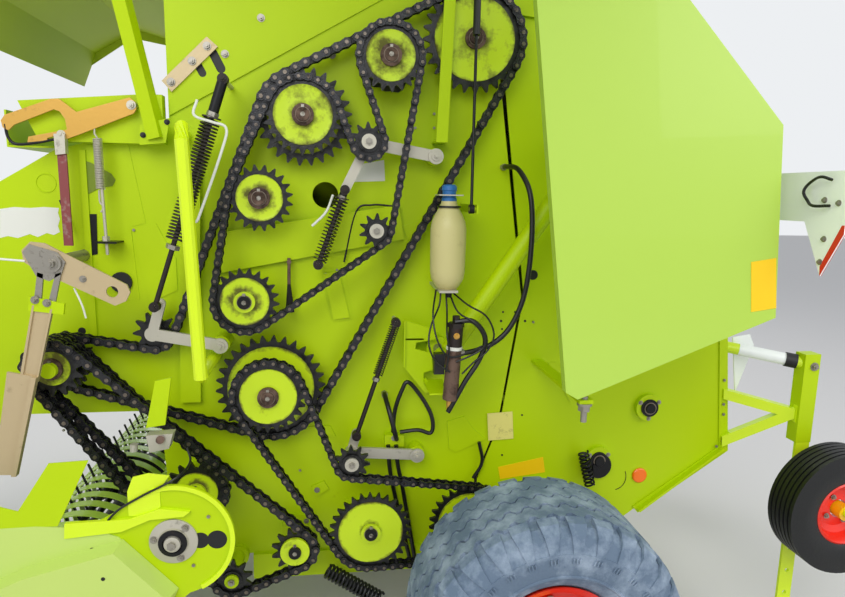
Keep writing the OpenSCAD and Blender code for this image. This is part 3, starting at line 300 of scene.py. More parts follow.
class Grime:
    """Shader groups that several materials share: blotches of dirt, and fine bumps."""

    clean_below = 0.80
    dirty_above = 1.02

    def __init__(self) -> None:
        """Builds both groups once."""
        self.blotches = self._blotches()
        self.bumps = self._bumps()

    @staticmethod
    def _new(name: str, ins: dict[str, tuple[str, object]],
             outs: dict[str, str]) -> tuple[bpy.types.NodeTree, bpy.types.Node, bpy.types.Node]:
        """Makes an empty group.

        Args:
            name: The group's name.
            ins: Input sockets, as name to (type, default).
            outs: Output sockets, as name to type.

        Returns:
            The tree, its input node and its output node.
        """
        tree = bpy.data.node_groups.new(name, "ShaderNodeTree")
        for label, (kind, default) in ins.items():
            socket = tree.interface.new_socket(label, in_out="INPUT", socket_type=kind)
            socket.default_value = default
        for label, kind in outs.items():
            tree.interface.new_socket(label, in_out="OUTPUT", socket_type=kind)
        return tree, tree.nodes.new("NodeGroupInput"), tree.nodes.new("NodeGroupOutput")

    def _blotches(self) -> bpy.types.NodeTree:
        """Mixes a colour with dirt by noise and by the piece's own grease attribute.

        Returns:
            The group's tree, with the outputs Color, Mask and Roughness.
        """
        tree, gin, gout = self._new(
            "dirt_blotches",
            {
                "Color": ("NodeSocketColor", (0.5, 0.5, 0.5, 1.0)),
                "Dirt": ("NodeSocketColor", (0.02, 0.02, 0.015, 1.0)),
                "Amount": ("NodeSocketFloat", 0.3),
                "Scale": ("NodeSocketFloat", 6.0),
                "Clean Roughness": ("NodeSocketFloat", 0.35),
                "Dirty Roughness": ("NodeSocketFloat", 0.7),
            },
            {"Color": "NodeSocketColor", "Mask": "NodeSocketFloat", "Roughness": "NodeSocketFloat"},
        )
        link = tree.links.new
        noise = self._noise(tree, gin, 6.0)
        noise.inputs["Roughness"].default_value = 0.65
        own = tree.nodes.new("ShaderNodeAttribute")
        own.attribute_name = "grease"
        raised = self._math(tree, "ADD", noise.outputs["Fac"], gin.outputs["Amount"])
        both = self._math(tree, "ADD", raised, own.outputs["Fac"])
        mask = tree.nodes.new("ShaderNodeMapRange")
        mask.inputs["From Min"].default_value = self.clean_below
        mask.inputs["From Max"].default_value = self.dirty_above
        link(both, mask.inputs["Value"])
        link(mask.outputs["Result"], gout.inputs["Mask"])
        for kind, clean, dirty, result in (
            ("RGBA", "Color", "Dirt", "Color"),
            ("FLOAT", "Clean Roughness", "Dirty Roughness", "Roughness"),
        ):
            mix = tree.nodes.new("ShaderNodeMix")
            mix.data_type = kind
            link(mask.outputs["Result"], mix.inputs["Factor"])
            link(gin.outputs[clean], mix.inputs["A"])
            link(gin.outputs[dirty], mix.inputs["B"])
            link(mix.outputs["Result"], gout.inputs[result])
        return tree

    def _bumps(self) -> bpy.types.NodeTree:
        """Gives a height for a Bump node from fine noise.

        Returns:
            The group's tree, with the output Height.
        """
        tree, gin, gout = self._new(
            "fine_bumps",
            {"Scale": ("NodeSocketFloat", 120.0), "Strength": ("NodeSocketFloat", 1.0)},
            {"Height": "NodeSocketFloat"},
        )
        noise = self._noise(tree, gin, 3.0)
        scaled = self._math(tree, "MULTIPLY", noise.outputs["Fac"], gin.outputs["Strength"])
        tree.links.new(scaled, gout.inputs["Height"])
        return tree

    @staticmethod
    def _noise(tree: bpy.types.NodeTree, gin: bpy.types.Node, detail: float) -> bpy.types.Node:
        """Adds noise over the object's own coordinates, at the group's Scale."""
        place = tree.nodes.new("ShaderNodeTexCoord")
        noise = tree.nodes.new("ShaderNodeTexNoise")
        noise.inputs["Detail"].default_value = detail
        tree.links.new(place.outputs["Object"], noise.inputs["Vector"])
        tree.links.new(gin.outputs["Scale"], noise.inputs["Scale"])
        return noise

    @staticmethod
    def _math(tree: bpy.types.NodeTree, kind: str, a: object, b: object) -> object:
        """Adds a Math node fed by two sockets and returns its output."""
        node = tree.nodes.new("ShaderNodeMath")
        node.operation = kind
        tree.links.new(a, node.inputs[0])
        tree.links.new(b, node.inputs[1])
        return node.outputs[0]


@dataclass(frozen=True)
class Finish:
    """One surface: its colour, gloss and metal, the dirt on it and its fine bumps."""

    name: str
    colour: Colour
    rough: float = 0.4
    metal: float = 0.0
    coat: float = 0.0
    gloss: float = 0.5
    dirt: Colour = (0.10, 0.09, 0.07)
    dirty: float = 0.05
    scale: float = 6.0
    dirty_rough: float = 0.7
    bump: float = 0.15
    bump_scale: float = 90.0
    bump_depth: float = 0.002

    def build(self, grime: Grime) -> bpy.types.Material:
        """Makes the material.

        Args:
            grime: The shared shader groups.

        Returns:
            The material, ready for a mesh's slot.
        """
        mat = bpy.data.materials.new(self.name)
        mat.use_nodes = True
        tree = mat.node_tree
        shader = tree.nodes["Principled BSDF"]
        dirt = tree.nodes.new("ShaderNodeGroup")
        dirt.node_tree = grime.blotches
        self._fill(dirt, {
            "Color": linear(self.colour), "Dirt": linear(self.dirt), "Amount": self.dirty,
            "Scale": self.scale, "Clean Roughness": self.rough, "Dirty Roughness": self.dirty_rough,
        })
        tree.links.new(dirt.outputs["Color"], shader.inputs["Base Color"])
        tree.links.new(dirt.outputs["Roughness"], shader.inputs["Roughness"])
        self._fill(shader, {
            "Metallic": self.metal, "Coat Weight": self.coat, "Specular IOR Level": self.gloss,
        })
        if self.bump > 0:
            fine = tree.nodes.new("ShaderNodeGroup")
            fine.node_tree = grime.bumps
            self._fill(fine, {"Scale": self.bump_scale, "Strength": 1.0})
            bump = tree.nodes.new("ShaderNodeBump")
            self._fill(bump, {"Strength": self.bump, "Distance": self.bump_depth})
            tree.links.new(fine.outputs["Height"], bump.inputs["Height"])
            tree.links.new(bump.outputs["Normal"], shader.inputs["Normal"])
        return mat

    @staticmethod
    def _fill(node: bpy.types.Node, values: dict[str, object]) -> None:
        """Sets a node's inputs by name."""
        for label, value in values.items():
            node.inputs[label].default_value = value


FINISHES = (
    Finish("green_paint", (0.72, 0.83, 0.0), rough=0.44, gloss=0.25, dirt=(0.40, 0.43, 0.02),
           dirty=0.12, dirty_rough=0.6, bump=0.05),
    # A lighter copy of the green paint; on the pickup's flanges it is a painted highlight.
    Finish("bright_paint", (0.84, 0.94, 0.08), rough=0.36, coat=0.1, dirt=(0.60, 0.66, 0.10), dirty=0.10,
           scale=12.0, bump=0.05),
    # A darker green for the sheet seen through the wall's cut-out: painted shade.
    Finish("pocket_paint", (0.46, 0.54, 0.02), rough=0.5, dirt=(0.20, 0.22, 0.04), dirty=0.2),
    # A paler, greyer copy of the green paint for surfaces in shade: painted shade.
    Finish("shade_paint", (0.78, 0.84, 0.24), rough=0.5, dirt=(0.52, 0.55, 0.16), dirty=0.10),
    Finish("pale_paint", (0.70, 0.83, 0.30), rough=0.34, coat=0.2, dirt=(0.62, 0.70, 0.22),
           dirty=0.06, bump=0.03, scale=3.0),
    Finish("shield_paint", (0.76, 0.85, 0.42), rough=0.34, coat=0.2, dirt=(0.62, 0.68, 0.30),
           dirty=0.08, bump=0.03, scale=5.0),
    Finish("disc_paint", (0.76, 0.86, 0.06), rough=0.38, dirt=(0.36, 0.36, 0.05), dirty=0.16,
           scale=16.0, bump=0.2),
    Finish("greasy_chain", (0.20, 0.20, 0.21), rough=0.26, metal=0.6, dirt=(0.04, 0.04, 0.045),
           dirty=0.30, scale=46.0, dirty_rough=0.30, bump=0.5, bump_scale=260.0),
    Finish("chain_pins", (0.46, 0.42, 0.38), rough=0.28, metal=0.7, dirt=(0.12, 0.11, 0.11),
           dirty=0.26, scale=60.0, dirty_rough=0.35, bump=0.3, bump_scale=200.0),
    Finish("greasy_teeth", (0.20, 0.20, 0.20), rough=0.28, metal=0.6, dirt=(0.035, 0.035, 0.035),
           dirty=0.33, scale=34.0, dirty_rough=0.36, bump=0.5, bump_scale=200.0),
    Finish("grease_film", (0.17, 0.18, 0.03), rough=0.4, dirt=(0.02, 0.02, 0.015), dirty=0.42,
           scale=40.0, dirty_rough=0.35, bump=0.5, bump_scale=180.0),
    Finish("beige_zinc", (0.76, 0.68, 0.53), rough=0.42, metal=0.35, dirt=(0.48, 0.40, 0.28),
           dirty=0.20, scale=18.0, bump=0.15),
    Finish("zinc_plate", (0.76, 0.74, 0.68), rough=0.42, metal=0.55, dirt=(0.33, 0.30, 0.24),
           dirty=0.18, scale=22.0, bump=0.15),
    Finish("yellow_zinc", (0.80, 0.62, 0.28), rough=0.38, metal=0.45, dirt=(0.42, 0.32, 0.18),
           dirty=0.18, scale=24.0, bump=0.15),
    Finish("old_iron", (0.42, 0.33, 0.28), rough=0.65, metal=0.35, dirt=(0.20, 0.13, 0.09),
           dirty=0.30, scale=30.0, bump=0.6),
    Finish("roller_steel", (0.52, 0.47, 0.42), rough=0.42, metal=0.6, dirt=(0.36, 0.22, 0.13),
           dirty=0.25, scale=9.0, bump=0.3),
    Finish("dark_steel", (0.09, 0.09, 0.10), rough=0.40, metal=0.5, dirt=(0.22, 0.14, 0.09),
           dirty=0.15, scale=20.0, bump=0.25),
    Finish("bolt_steel", (0.62, 0.60, 0.56), rough=0.36, metal=0.7, dirt=(0.25, 0.22, 0.18),
           dirty=0.22, scale=60.0, bump=0.2),
    Finish("spring_steel", (0.30, 0.28, 0.27), rough=0.28, metal=0.7, dirt=(0.05, 0.05, 0.05),
           dirty=0.28, scale=26.0, bump=0.2),
    Finish("chrome", (0.85, 0.86, 0.88), rough=0.10, metal=1.0, dirty=-0.1, bump=0.0),
    Finish("black_hose", (0.035, 0.035, 0.04), rough=0.42, dirt=(0.16, 0.15, 0.13), dirty=0.12,
           scale=20.0, bump=0.12),
    # Black plastic parts, and also the black sheets and discs that stand for the shade inside holes and
    # slots: painted shade.
    Finish("black_plastic", (0.05, 0.05, 0.055), rough=0.5, dirt=(0.18, 0.17, 0.15), dirty=0.12,
           scale=8.0),
    Finish("tyre_rubber", (0.39, 0.46, 0.54), rough=0.82, dirt=(0.60, 0.66, 0.73), dirty=0.36,
           scale=9.0, dirty_rough=0.9, bump=0.6, bump_scale=120.0),
    Finish("tyre_black", (0.02, 0.028, 0.034), rough=0.5, dirt=(0.07, 0.08, 0.08), dirty=0.04,
           scale=8.0, bump=0.3),
    Finish("rim_red", (0.93, 0.17, 0.08), rough=0.30, coat=0.3, dirt=(0.45, 0.22, 0.15),
           dirty=0.10, scale=10.0, bump=0.05),
    Finish("hub_yellow", (0.95, 0.74, 0.05), rough=0.32, coat=0.2, dirty=0.05, bump=0.03),
    Finish("bottle_plastic", (0.80, 0.76, 0.52), rough=0.42, dirt=(0.62, 0.56, 0.36), dirty=0.20,
           scale=12.0, bump=0.15),
    Finish("blue_cap", (0.16, 0.42, 0.68), rough=0.4, dirty=0.12, scale=30.0),
    Finish("board_white", (0.97, 0.98, 0.97), rough=0.35, dirt=(0.72, 0.76, 0.74), dirty=0.06),
    Finish("board_red", (0.85, 0.16, 0.13), rough=0.35, dirty=0.05),
    Finish("lamp_amber", (1.0, 0.46, 0.0), rough=0.3, coat=0.1, dirty=-0.1, bump=0.0),
    Finish("sticker_yellow", (0.98, 0.80, 0.02), rough=0.4, dirt=(0.6, 0.45, 0.1), dirty=0.05),
    Finish("sticker_white", (0.88, 0.88, 0.84), rough=0.5, dirt=(0.5, 0.5, 0.42), dirty=0.10,
           scale=30.0),
    Finish("aged_label", (0.90, 0.86, 0.48), rough=0.5, dirt=(0.45, 0.40, 0.16), dirty=0.22, scale=30.0),
    Finish("dark_iron", (0.16, 0.13, 0.12), rough=0.5, metal=0.35, dirt=(0.30, 0.16, 0.09),
           dirty=0.20, scale=24.0, bump=0.5),
    Finish("brush_bristle", (0.10, 0.09, 0.07), rough=0.9, dirty=0.1, bump=0.6),
    Finish("faded_red", (0.52, 0.24, 0.24), rough=0.6, dirt=(0.66, 0.60, 0.56), dirty=0.24,
           scale=26.0),
)


# A bolt's washer, head and thread: start and end along the axis, radius, in sizes of the bolt, and sides.
BOLT_FORMS = ((0.0, 0.28, 1.55, 16), (0.2, 1.1, 1.12, 6), (1.05, 1.6, 0.6, 10))


class Mesh:
    """Collects simple forms in the row frame and makes one object of them."""

    coil_steps = 14

    def __init__(self, *finishes: str) -> None:
        """Starts empty, with the finishes that its faces may have; the first holds until use is called."""
        self.finishes = finishes
        self.verts: list[Vector] = []
        self.faces: list[tuple[int, ...]] = []
        self.slots: list[int] = []
        self.grease: list[float] = []
        self.slot = 0
        self.level = 0.0

    def use(self, finish: str) -> None:
        """Gives the forms added from here on a finish."""
        self.slot = self.finishes.index(finish)

    def add(self, verts: Sequence[Vector], faces: Sequence[Sequence[int]]) -> None:
        """Adds vertices and faces that count from the first of them."""
        start = len(self.verts)
        self.verts.extend(verts)
        self.faces.extend(tuple(start + i for i in f) for f in faces)
        self.slots.extend([self.slot] * len(faces))
        self.grease.extend([self.level] * len(verts))

    def loft(self, rings: Sequence[Sequence[Vector]], closed: bool = False, caps: bool = True) -> None:
        """Joins rings of equal count by quads.

        Args:
            rings: The rings, each a list of points.
            closed: Whether the last ring joins the first.
            caps: Whether the ends get a face each.
        """
        n = len(rings[0])
        verts = [p for ring in rings for p in ring]
        faces: list[Sequence[int]] = []
        for i in range(len(rings) if closed else len(rings) - 1):
            a, b = i * n, ((i + 1) % len(rings)) * n
            faces.extend((a + k, a + (k + 1) % n, b + (k + 1) % n, b + k) for k in range(n))
        if caps and not closed:
            faces.append(tuple(range(n - 1, -1, -1)))
            last = (len(rings) - 1) * n
            faces.append(tuple(last + k for k in range(n)))
        self.add(verts, faces)

    def box(self, low: Vector, high: Vector) -> None:
        """Adds a box between two corners."""
        corners = ((low.x, low.y), (high.x, low.y), (high.x, high.y), (low.x, high.y))
        self.prism([Vector((x, y, low.z)) for x, y in corners], UP * (high.z - low.z))

    def prism(self, ring: Sequence[Vector], along: Vector) -> None:
        """Adds a prism: a ring of points pulled along a vector."""
        self.loft([list(ring), [p + along for p in ring]])

    def plate(self, outline: Sequence[Point2], y: float, thick: float) -> None:
        """Adds a flat plate from an outline in the side view, in millimetres."""
        self.prism([at(x, y, z) for x, z in outline], ACROSS * thick / 1000)

    def pierced(self, outline: Sequence[Point2], holes: Sequence[Sequence[Point2]], y: float,
                thick: float) -> None:
        """Adds a flat plate with holes through it.

        Args:
            outline: The plate's edge in the side view, in millimetres.
            holes: The edges of its holes.
            y: Where its far face lies, in millimetres.
            thick: Its thickness along y.
        """
        loops = [list(outline), *[list(h) for h in holes]]
        flat = [Vector((x, z, 0)) for loop in loops for x, z in loop]
        faces = tessellate_polygon([[Vector((x, z, 0)) for x, z in loop] for loop in loops])
        n = len(flat)
        verts = [at(v.x, y, v.y) for v in flat] + [at(v.x, y + thick, v.y) for v in flat]
        walls: list[Sequence[int]] = []
        start = 0
        for loop in loops:
            m = len(loop)
            walls.extend((start + k, start + (k + 1) % m, n + start + (k + 1) % m, n + start + k)
                         for k in range(m))
            start += m
        self.add(verts, [*faces, *[tuple(n + i for i in reversed(f)) for f in faces], *walls])

    def rod(self, p: Vector, q: Vector, r: float, n: int = 16, r2: float | None = None) -> None:
        """Adds a round bar or cone from p to q with radii in metres."""
        u, v = self._across((q - p).normalized())
        self.loft([self._circle(p, u, v, r, n), self._circle(q, u, v, r if r2 is None else r2, n)])

    def tube(self, path: Sequence[Vector], r: float, n: int = 10, closed: bool = False) -> None:
        """Sweeps a round section along points."""
        rings = []
        u = None
        for i, p in enumerate(path):
            before = path[i - 1] if i or closed else path[i]
            after = path[(i + 1) % len(path)] if i + 1 < len(path) or closed else path[i]
            d = (after - before).normalized()
            if u is None:
                u, v = self._across(d)
            else:
                u = (u - d * u.dot(d)).normalized()
                v = d.cross(u)
            rings.append(self._circle(p, u, v, r, n))
        self.loft(rings, closed=closed)

    def spring(self, p: Vector, q: Vector, r: float, wire: float, coils: float, n: int = 6) -> None:
        """Adds a coil between two points."""
        d = q - p
        u, v = self._across(d.normalized())
        steps = int(coils * self.coil_steps)
        path = []
        for i in range(steps + 1):
            t = i / steps
            a = 2 * math.pi * coils * t
            path.append(p + d * t + (u * math.cos(a) + v * math.sin(a)) * r)
        self.tube(path, wire, n)

    def turned(self, centre: Vector, axis: Vector, profile: Sequence[Point2], n: int = 48,
               level: Callable[[float], float] | None = None) -> None:
        """Turns a closed or open profile round an axis.

        Args:
            centre: A point on the axis.
            axis: The axis's direction.
            profile: Pairs of distance along the axis and radius, in metres.
            n: The number of steps round.
            level: Gives the grease at a radius.
        """
        u, v = self._across(axis)
        start = len(self.verts)
        rings = [self._circle(centre + axis * a, u, v, max(r, 1e-5), n) for a, r in profile]
        self.loft(rings, caps=False)
        if level:
            for i, (_, r) in enumerate(profile):
                for k in range(n):
                    self.grease[start + i * n + k] = level(r)

    def bolt(self, head: Vector, axis: Vector, size: float = 8.0, washer: bool = True) -> None:
        """Adds a hexagon head on a washer, size being half the width over its flats, in millimetres."""
        s = size / 1000
        for start, end, radius, sides in BOLT_FORMS if washer else BOLT_FORMS[1:]:
            self.rod(head + axis * s * start, head + axis * s * end, s * radius, sides)

    @staticmethod
    def _across(d: Vector) -> tuple[Vector, Vector]:
        """Two unit vectors square to d and to each other."""
        other = Vector((0, 1, 0)) if abs(d.y) < 0.9 else Vector((1, 0, 0))
        u = d.cross(other).normalized()
        return u, d.cross(u)

    @staticmethod
    def _circle(c: Vector, u: Vector, v: Vector, r: float, n: int) -> list[Vector]:
        """Points of a circle."""
        return [c + (u * math.cos(a) + v * math.sin(a)) * r for a in turns(n)]

    def make(self, name: str, mats: Materials, body: str, slot: str,
             replaces: Sequence[str] = (), sharp: float = 32.0) -> None:
        """Makes the object and ties it to a CAD body.

        Args:
            name: The piece's name.
            mats: All materials by name.
            body: The CAD body that it moves with.
            slot: A material slot's name, which is not used.
            replaces: CAD nodes that it stands for.
            sharp: Angle in degrees above which an edge stays sharp.
        """
        data = bpy.data.meshes.new(name)
        data.from_pydata([tuple(v) for v in self.verts], [], self.faces)
        layer = data.attributes.new("grease", "FLOAT", "POINT")
        layer.data.foreach_set("value", self.grease)
        for finish in self.finishes:
            data.materials.append(mats[finish])
        data.polygons.foreach_set("material_index", self.slots)
        data.polygons.foreach_set("use_smooth", [True] * len(data.polygons))
        data.set_sharp_from_angle(angle=math.radians(sharp))
        data.validate()
        piece = bpy.data.objects.new(name, data)
        bpy.context.scene.collection.objects.link(piece)
        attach(piece, body)
        if replaces:
            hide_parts(*replaces)
        LOG.info("%s: %d faces on %s", name, len(data.polygons), body)


@dataclass(frozen=True)
class Wheel:
    """A sprocket of a chain run: shaft, teeth, and 1 or -1 for the way the chain turns on it."""

    shaft: str
    teeth: int
    way: int = 1

    def radius(self, pitch: float) -> float:
        """Pitch radius in millimetres."""
        return pitch / (2 * math.sin(math.pi / self.teeth))


@dataclass
class Run:
    """One chain with its sprockets."""

    name: str
    row: Row
    pitch: float
    wheels: tuple[Wheel, ...]
    arc_step: float = 0.05

    def _heading(self, a: Wheel, b: Wheel) -> float:
        """Direction of the straight stretch from wheel a to wheel b."""
        pa, pb = Vector(SHAFTS[a.shaft]), Vector(SHAFTS[b.shaft])
        v = pb - pa
        turn = a.way * a.radius(self.pitch) - b.way * b.radius(self.pitch)
        return math.atan2(v.y, v.x) + math.asin(turn / v.length)

    def _corners(self) -> list[Vector]:
        """The run's pitch line as close points."""
        out = []
        count = len(self.wheels)
        for i, wheel in enumerate(self.wheels):
            start = self._heading(self.wheels[i - 1], wheel)
            end = self._heading(wheel, self.wheels[(i + 1) % count])
            by = ((end - start) * wheel.way) % (2 * math.pi) * wheel.way
            r = wheel.way * wheel.radius(self.pitch)
            c = SHAFTS[wheel.shaft]
            steps = max(2, int(abs(by) / self.arc_step))
            for k in range(steps + 1):
                h = start + by * k / steps
                out.append(Vector((c[0] + r * math.sin(h), c[1] - r * math.cos(h))))
        return out

    def pins(self) -> list[Vector]:
        """Places of the chain's pins, evenly spaced, an even number of them."""
        line = self._corners()
        total = sum((line[(i + 1) % len(line)] - p).length for i, p in enumerate(line))
        count = 2 * round(total / self.pitch / 2)
        step = total / count
        out = []
        ahead = 0.0
        for i, p in enumerate(line):
            q = line[(i + 1) % len(line)]
            length = (q - p).length
            while ahead < length and len(out) < count:
                out.append(p.lerp(q, ahead / length) if length else p.copy())
                ahead += step
            ahead -= length
        return out


# Pitches of the two sizes of chain, in millimetres.
HEAVY = 38.1
LIGHT = 31.75
RUNS = (
    Run("main", Row.INNER, HEAVY, (
        Wheel("rear_top", 28), Wheel("upper", 25), Wheel("idler_main", 10, -1),
        Wheel("gearbox", 14), Wheel("lower_drive", 30))),
    Run("upper", Row.MIDDLE, LIGHT, (
        Wheel("top", 21), Wheel("idler_top", 11, -1), Wheel("upper", 24),
        Wheel("upper_front", 20), Wheel("middle", 21), Wheel("idler_mid", 10))),
    Run("lower", Row.OUTER, LIGHT, (
        Wheel("lower_drive", 24), Wheel("bottom_front", 28), Wheel("bottom_rear", 28),
        Wheel("idler_low", 11, -1))),
    Run("rotor", Row.OUTER, HEAVY, (
        Wheel("gearbox", 14), Wheel("idler_rotor", 10), Wheel("rotor", 12))),
    Run("pickup", Row.MIDDLE, HEAVY, (Wheel("gearbox", 14), Wheel("pickup", 17))),
)
SPROCKET_NODES = ("main_sprockets", "upper_sprockets", "lower_sprockets")
# One tooth: turns in half pitches of the teeth, and heights over the pitch line in pitches of the chain.
TOOTH = ((-0.36, -0.27), (-0.16, -0.335), (0.16, -0.335), (0.36, -0.27),
         (0.62, 0.02), (0.88, 0.30), (1.12, 0.30), (1.38, 0.02))
DIRTY_DISCS = {"top": 0.17, "upper": 0.16, "rear_top": 0.12, "upper_front": 0.06, "middle": 0.04,
               "lower_drive": 0.03, "bottom_front": 0.0}
PAINTED_HUBS = ("bottom_front", "middle", "rotor", "pickup")
IDLERS = ("idler_top", "idler_mid", "idler_low", "idler_main", "idler_rotor")


@dataclass
class Kit:
    """Base of the sub-assemblies: keeps the materials and the sight."""

    mats: Materials
    sight: Sight


@dataclass
class ChainDrive(Kit):
    """The roller chains and their sprockets on the left wall, sizes in millimetres.

    Sizes whose names start with share are shares of the chain's pitch, and those of the discs, hubs
    and idlers, at the end, are in metres.
    """

    width: float = 36.0
    link_thick: float = 4.0
    link_step: float = 5.5
    share_link: float = 0.80
    share_waist: float = 0.288
    roller_half: float = 10.5
    share_roller: float = 0.31
    share_pin: float = 0.18
    pin_proud: float = 2.5
    pin_back: float = 1.5
    tooth_thick: float = 13.0
    share_ring: float = 0.85
    least_bore: float = 34.0
    disc_bore: float = 0.026
    disc_deep: float = 0.018
    hub_radius: float = 0.036
    rotor_hub_radius: float = 0.052
    hub_high: float = 0.012
    shaft_radius: float = 0.024
    shaft_end_radius: float = 0.022
    shaft_high: float = 0.022
    idler_back: float = 0.012
    idler_front: float = 0.008
    washer_thick: float = 0.004

    def build(self) -> None:
        """Makes every chain and the sprockets of every run."""
        teeth = Mesh("greasy_teeth", "bolt_steel")
        discs = Mesh("disc_paint", "old_iron", "bolt_steel", "dark_steel")
        for run in RUNS:
            pins = run.pins()
            self._chain(run, pins)
            for wheel in run.wheels:
                self._sprocket(teeth, discs, run, wheel, pins)
        teeth.make("sprocket_teeth", self.mats, "frame", "chain_steel", SPROCKET_NODES)
        discs.make("sprocket_discs", self.mats, "frame", "paint_green")

    def _chain(self, run: Run, pins: list[Vector]) -> None:
        """Makes one chain's links, rollers and pins."""
        mesh = Mesh("greasy_chain", "chain_pins")
        y = -run.row.value
        half = self.width / 2
        roller = ACROSS * self.roller_half / 1000
        # The level of grease changes from outer to inner links, and from pin to pin.
        for i, p in enumerate(pins):
            link = self._link(p, pins[(i + 1) % len(pins)], run.pitch)
            outer = i % 2 == 0
            reach = half if outer else half - self.link_step
            mesh.level = 0.0 if outer else 0.15
            for near in (y - reach, y + reach - self.link_thick):
                mesh.plate(link, near, self.link_thick)
            centre = at(p.x, y, p.y)
            mesh.level = -0.1
            mesh.rod(centre - roller, centre + roller, run.pitch * self.share_roller / 1000, 10)
            mesh.level = 0.12 * math.sin(i * 1.7)
            mesh.use("chain_pins")
            mesh.rod(centre + OUT * (half + self.pin_proud) / 1000,
                     centre - OUT * (half + self.pin_back) / 1000, run.pitch * self.share_pin / 1000, 10)
            mesh.use("greasy_chain")
        mesh.make(run.name + "_chain_links", self.mats, "frame", "chain_steel", (run.name + "_chain",))

    def _link(self, p: Vector, q: Vector, pitch: float) -> list[Point2]:
        """Outline of a link plate, waisted between its two round ends."""
        along = (q - p).normalized()
        square = Vector((-along.y, along.x))
        out = []
        for c, start, side in ((p, 90, -1), (q, -90, 1)):
            for k in range(6):
                a = math.radians(start + 36 * k)
                out.append(c + (along * math.cos(a) + square * math.sin(a)) * pitch * self.share_link / 2)
            out.append(p.lerp(q, 0.5) + square * pitch * self.share_waist * side)
        return [(v.x, v.y) for v in out]

    def _sprocket(self, teeth: Mesh, discs: Mesh, run: Run, wheel: Wheel, pins: list[Vector]) -> None:
        """Adds one sprocket: a toothed ring in step with the chain, and its disc or its bearing.

        Args:
            teeth: The mesh of the toothed rings and idlers.
            discs: The mesh of the painted discs and hubs.
            run: The chain's run.
            wheel: The sprocket.
            pins: The chain's pins, one of which fixes where the teeth stand.
        """
        c = Vector(SHAFTS[wheel.shaft])
        r = wheel.radius(run.pitch)
        y = -run.row.value
        bore = max(r - run.pitch * self.share_ring, self.least_bore)
        near = min(pins, key=lambda p: abs((p - c).length - r))
        phase = math.atan2(near.y - c.y, near.x - c.x)
        edge = [(phase + (2 * i + turn) * math.pi / wheel.teeth, r + rise * run.pitch)
                for i in range(wheel.teeth) for turn, rise in TOOTH]
        half = self.tooth_thick / 2
        rings = []
        for depth, inside in ((half, False), (-half, False), (-half, True), (half, True)):
            middle = at(c.x, y + depth, c.y)
            rings.append([middle + spoke((bore if inside else rad) / 1000, a) for a, rad in edge])
        teeth.use("greasy_teeth")
        teeth.loft(rings, closed=True)
        if wheel.shaft in IDLERS:
            self._idler(teeth, at(c.x, y - half, c.y), bore / 1000)
        else:
            self._disc(discs, at(c.x, y - half - 3, c.y), bore / 1000, wheel.shaft)

    def _disc(self, mesh: Mesh, face: Vector, r: float, shaft: str) -> None:
        """Adds a sprocket's dished disc, its hub and the shaft's end with its key.

        Args:
            mesh: The mesh that takes them.
            face: The middle of the disc's outer face.
            r: The bore of the toothed ring, in metres.
            shaft: The shaft's name, which tells how dirty the disc is.
        """
        def grease(radius: float) -> float:
            """Black round the hub and at the rim, and the disc's own dirt between them."""
            if radius < 0.045:
                return 0.34
            return 0.30 if radius > r - 0.006 else DIRTY_DISCS.get(shaft, -0.02)

        painted = shaft in PAINTED_HUBS
        bore, deep = self.disc_bore, self.disc_deep
        mesh.use("disc_paint")
        mesh.turned(face, ACROSS, [(0.0, bore), (0.0, r * 0.55), (0.002, r * 0.9), (0.0, r + 0.003),
                                   (0.004, r + 0.004), (deep, r + 0.004), (deep, bore)], 40, grease)
        mesh.use("disc_paint" if painted else "old_iron")
        mesh.level = 0.1
        hub = self.rotor_hub_radius if shaft == "rotor" else self.hub_radius
        mesh.rod(face, face + OUT * self.hub_high, hub, 24)
        mesh.use("dark_steel" if painted else "old_iron")
        end = face + OUT * self.shaft_high
        mesh.rod(face, end, self.shaft_radius, 20, self.shaft_end_radius)
        mesh.use("bolt_steel")
        mesh.box(face + Vector((-0.005, -0.019, 0.018)), face + Vector((0.005, -0.002, 0.031)))
        mesh.rod(end, end + OUT * 0.002, 0.008, 8)
        mesh.level = 0.0

    def _idler(self, mesh: Mesh, face: Vector, r: float) -> None:
        """Adds an idler's bearing, washer and bolt on the face of its toothed ring."""
        front = face + OUT * self.idler_front
        seat = front + OUT * self.washer_thick
        mesh.rod(face - OUT * self.idler_back, front, r + 0.001, 24)
        mesh.use("bolt_steel")
        mesh.rod(front, seat, self.shaft_radius, 20)
        mesh.bolt(seat, OUT, 11.0, washer=False)


@dataclass(frozen=True)
class Strut:
    """A tensioner's spring on its rod, in millimetres, its coil's ends as shares of the rod."""

    top: Point2
    foot: Point2
    y: float
    radius: float
    coil_from: float
    coil_to: float
    turns: float


STRUTS = (
    Strut((2168, 2228), (1927, 1498), -778, 28, 0.16, 0.70, 38),
    Strut((2551, 1891), (2458, 1632), -708, 23, 0.10, 0.95, 19),
    Strut((2733, 1423), (2592, 999), -708, 17, 0.02, 0.46, 24),
)


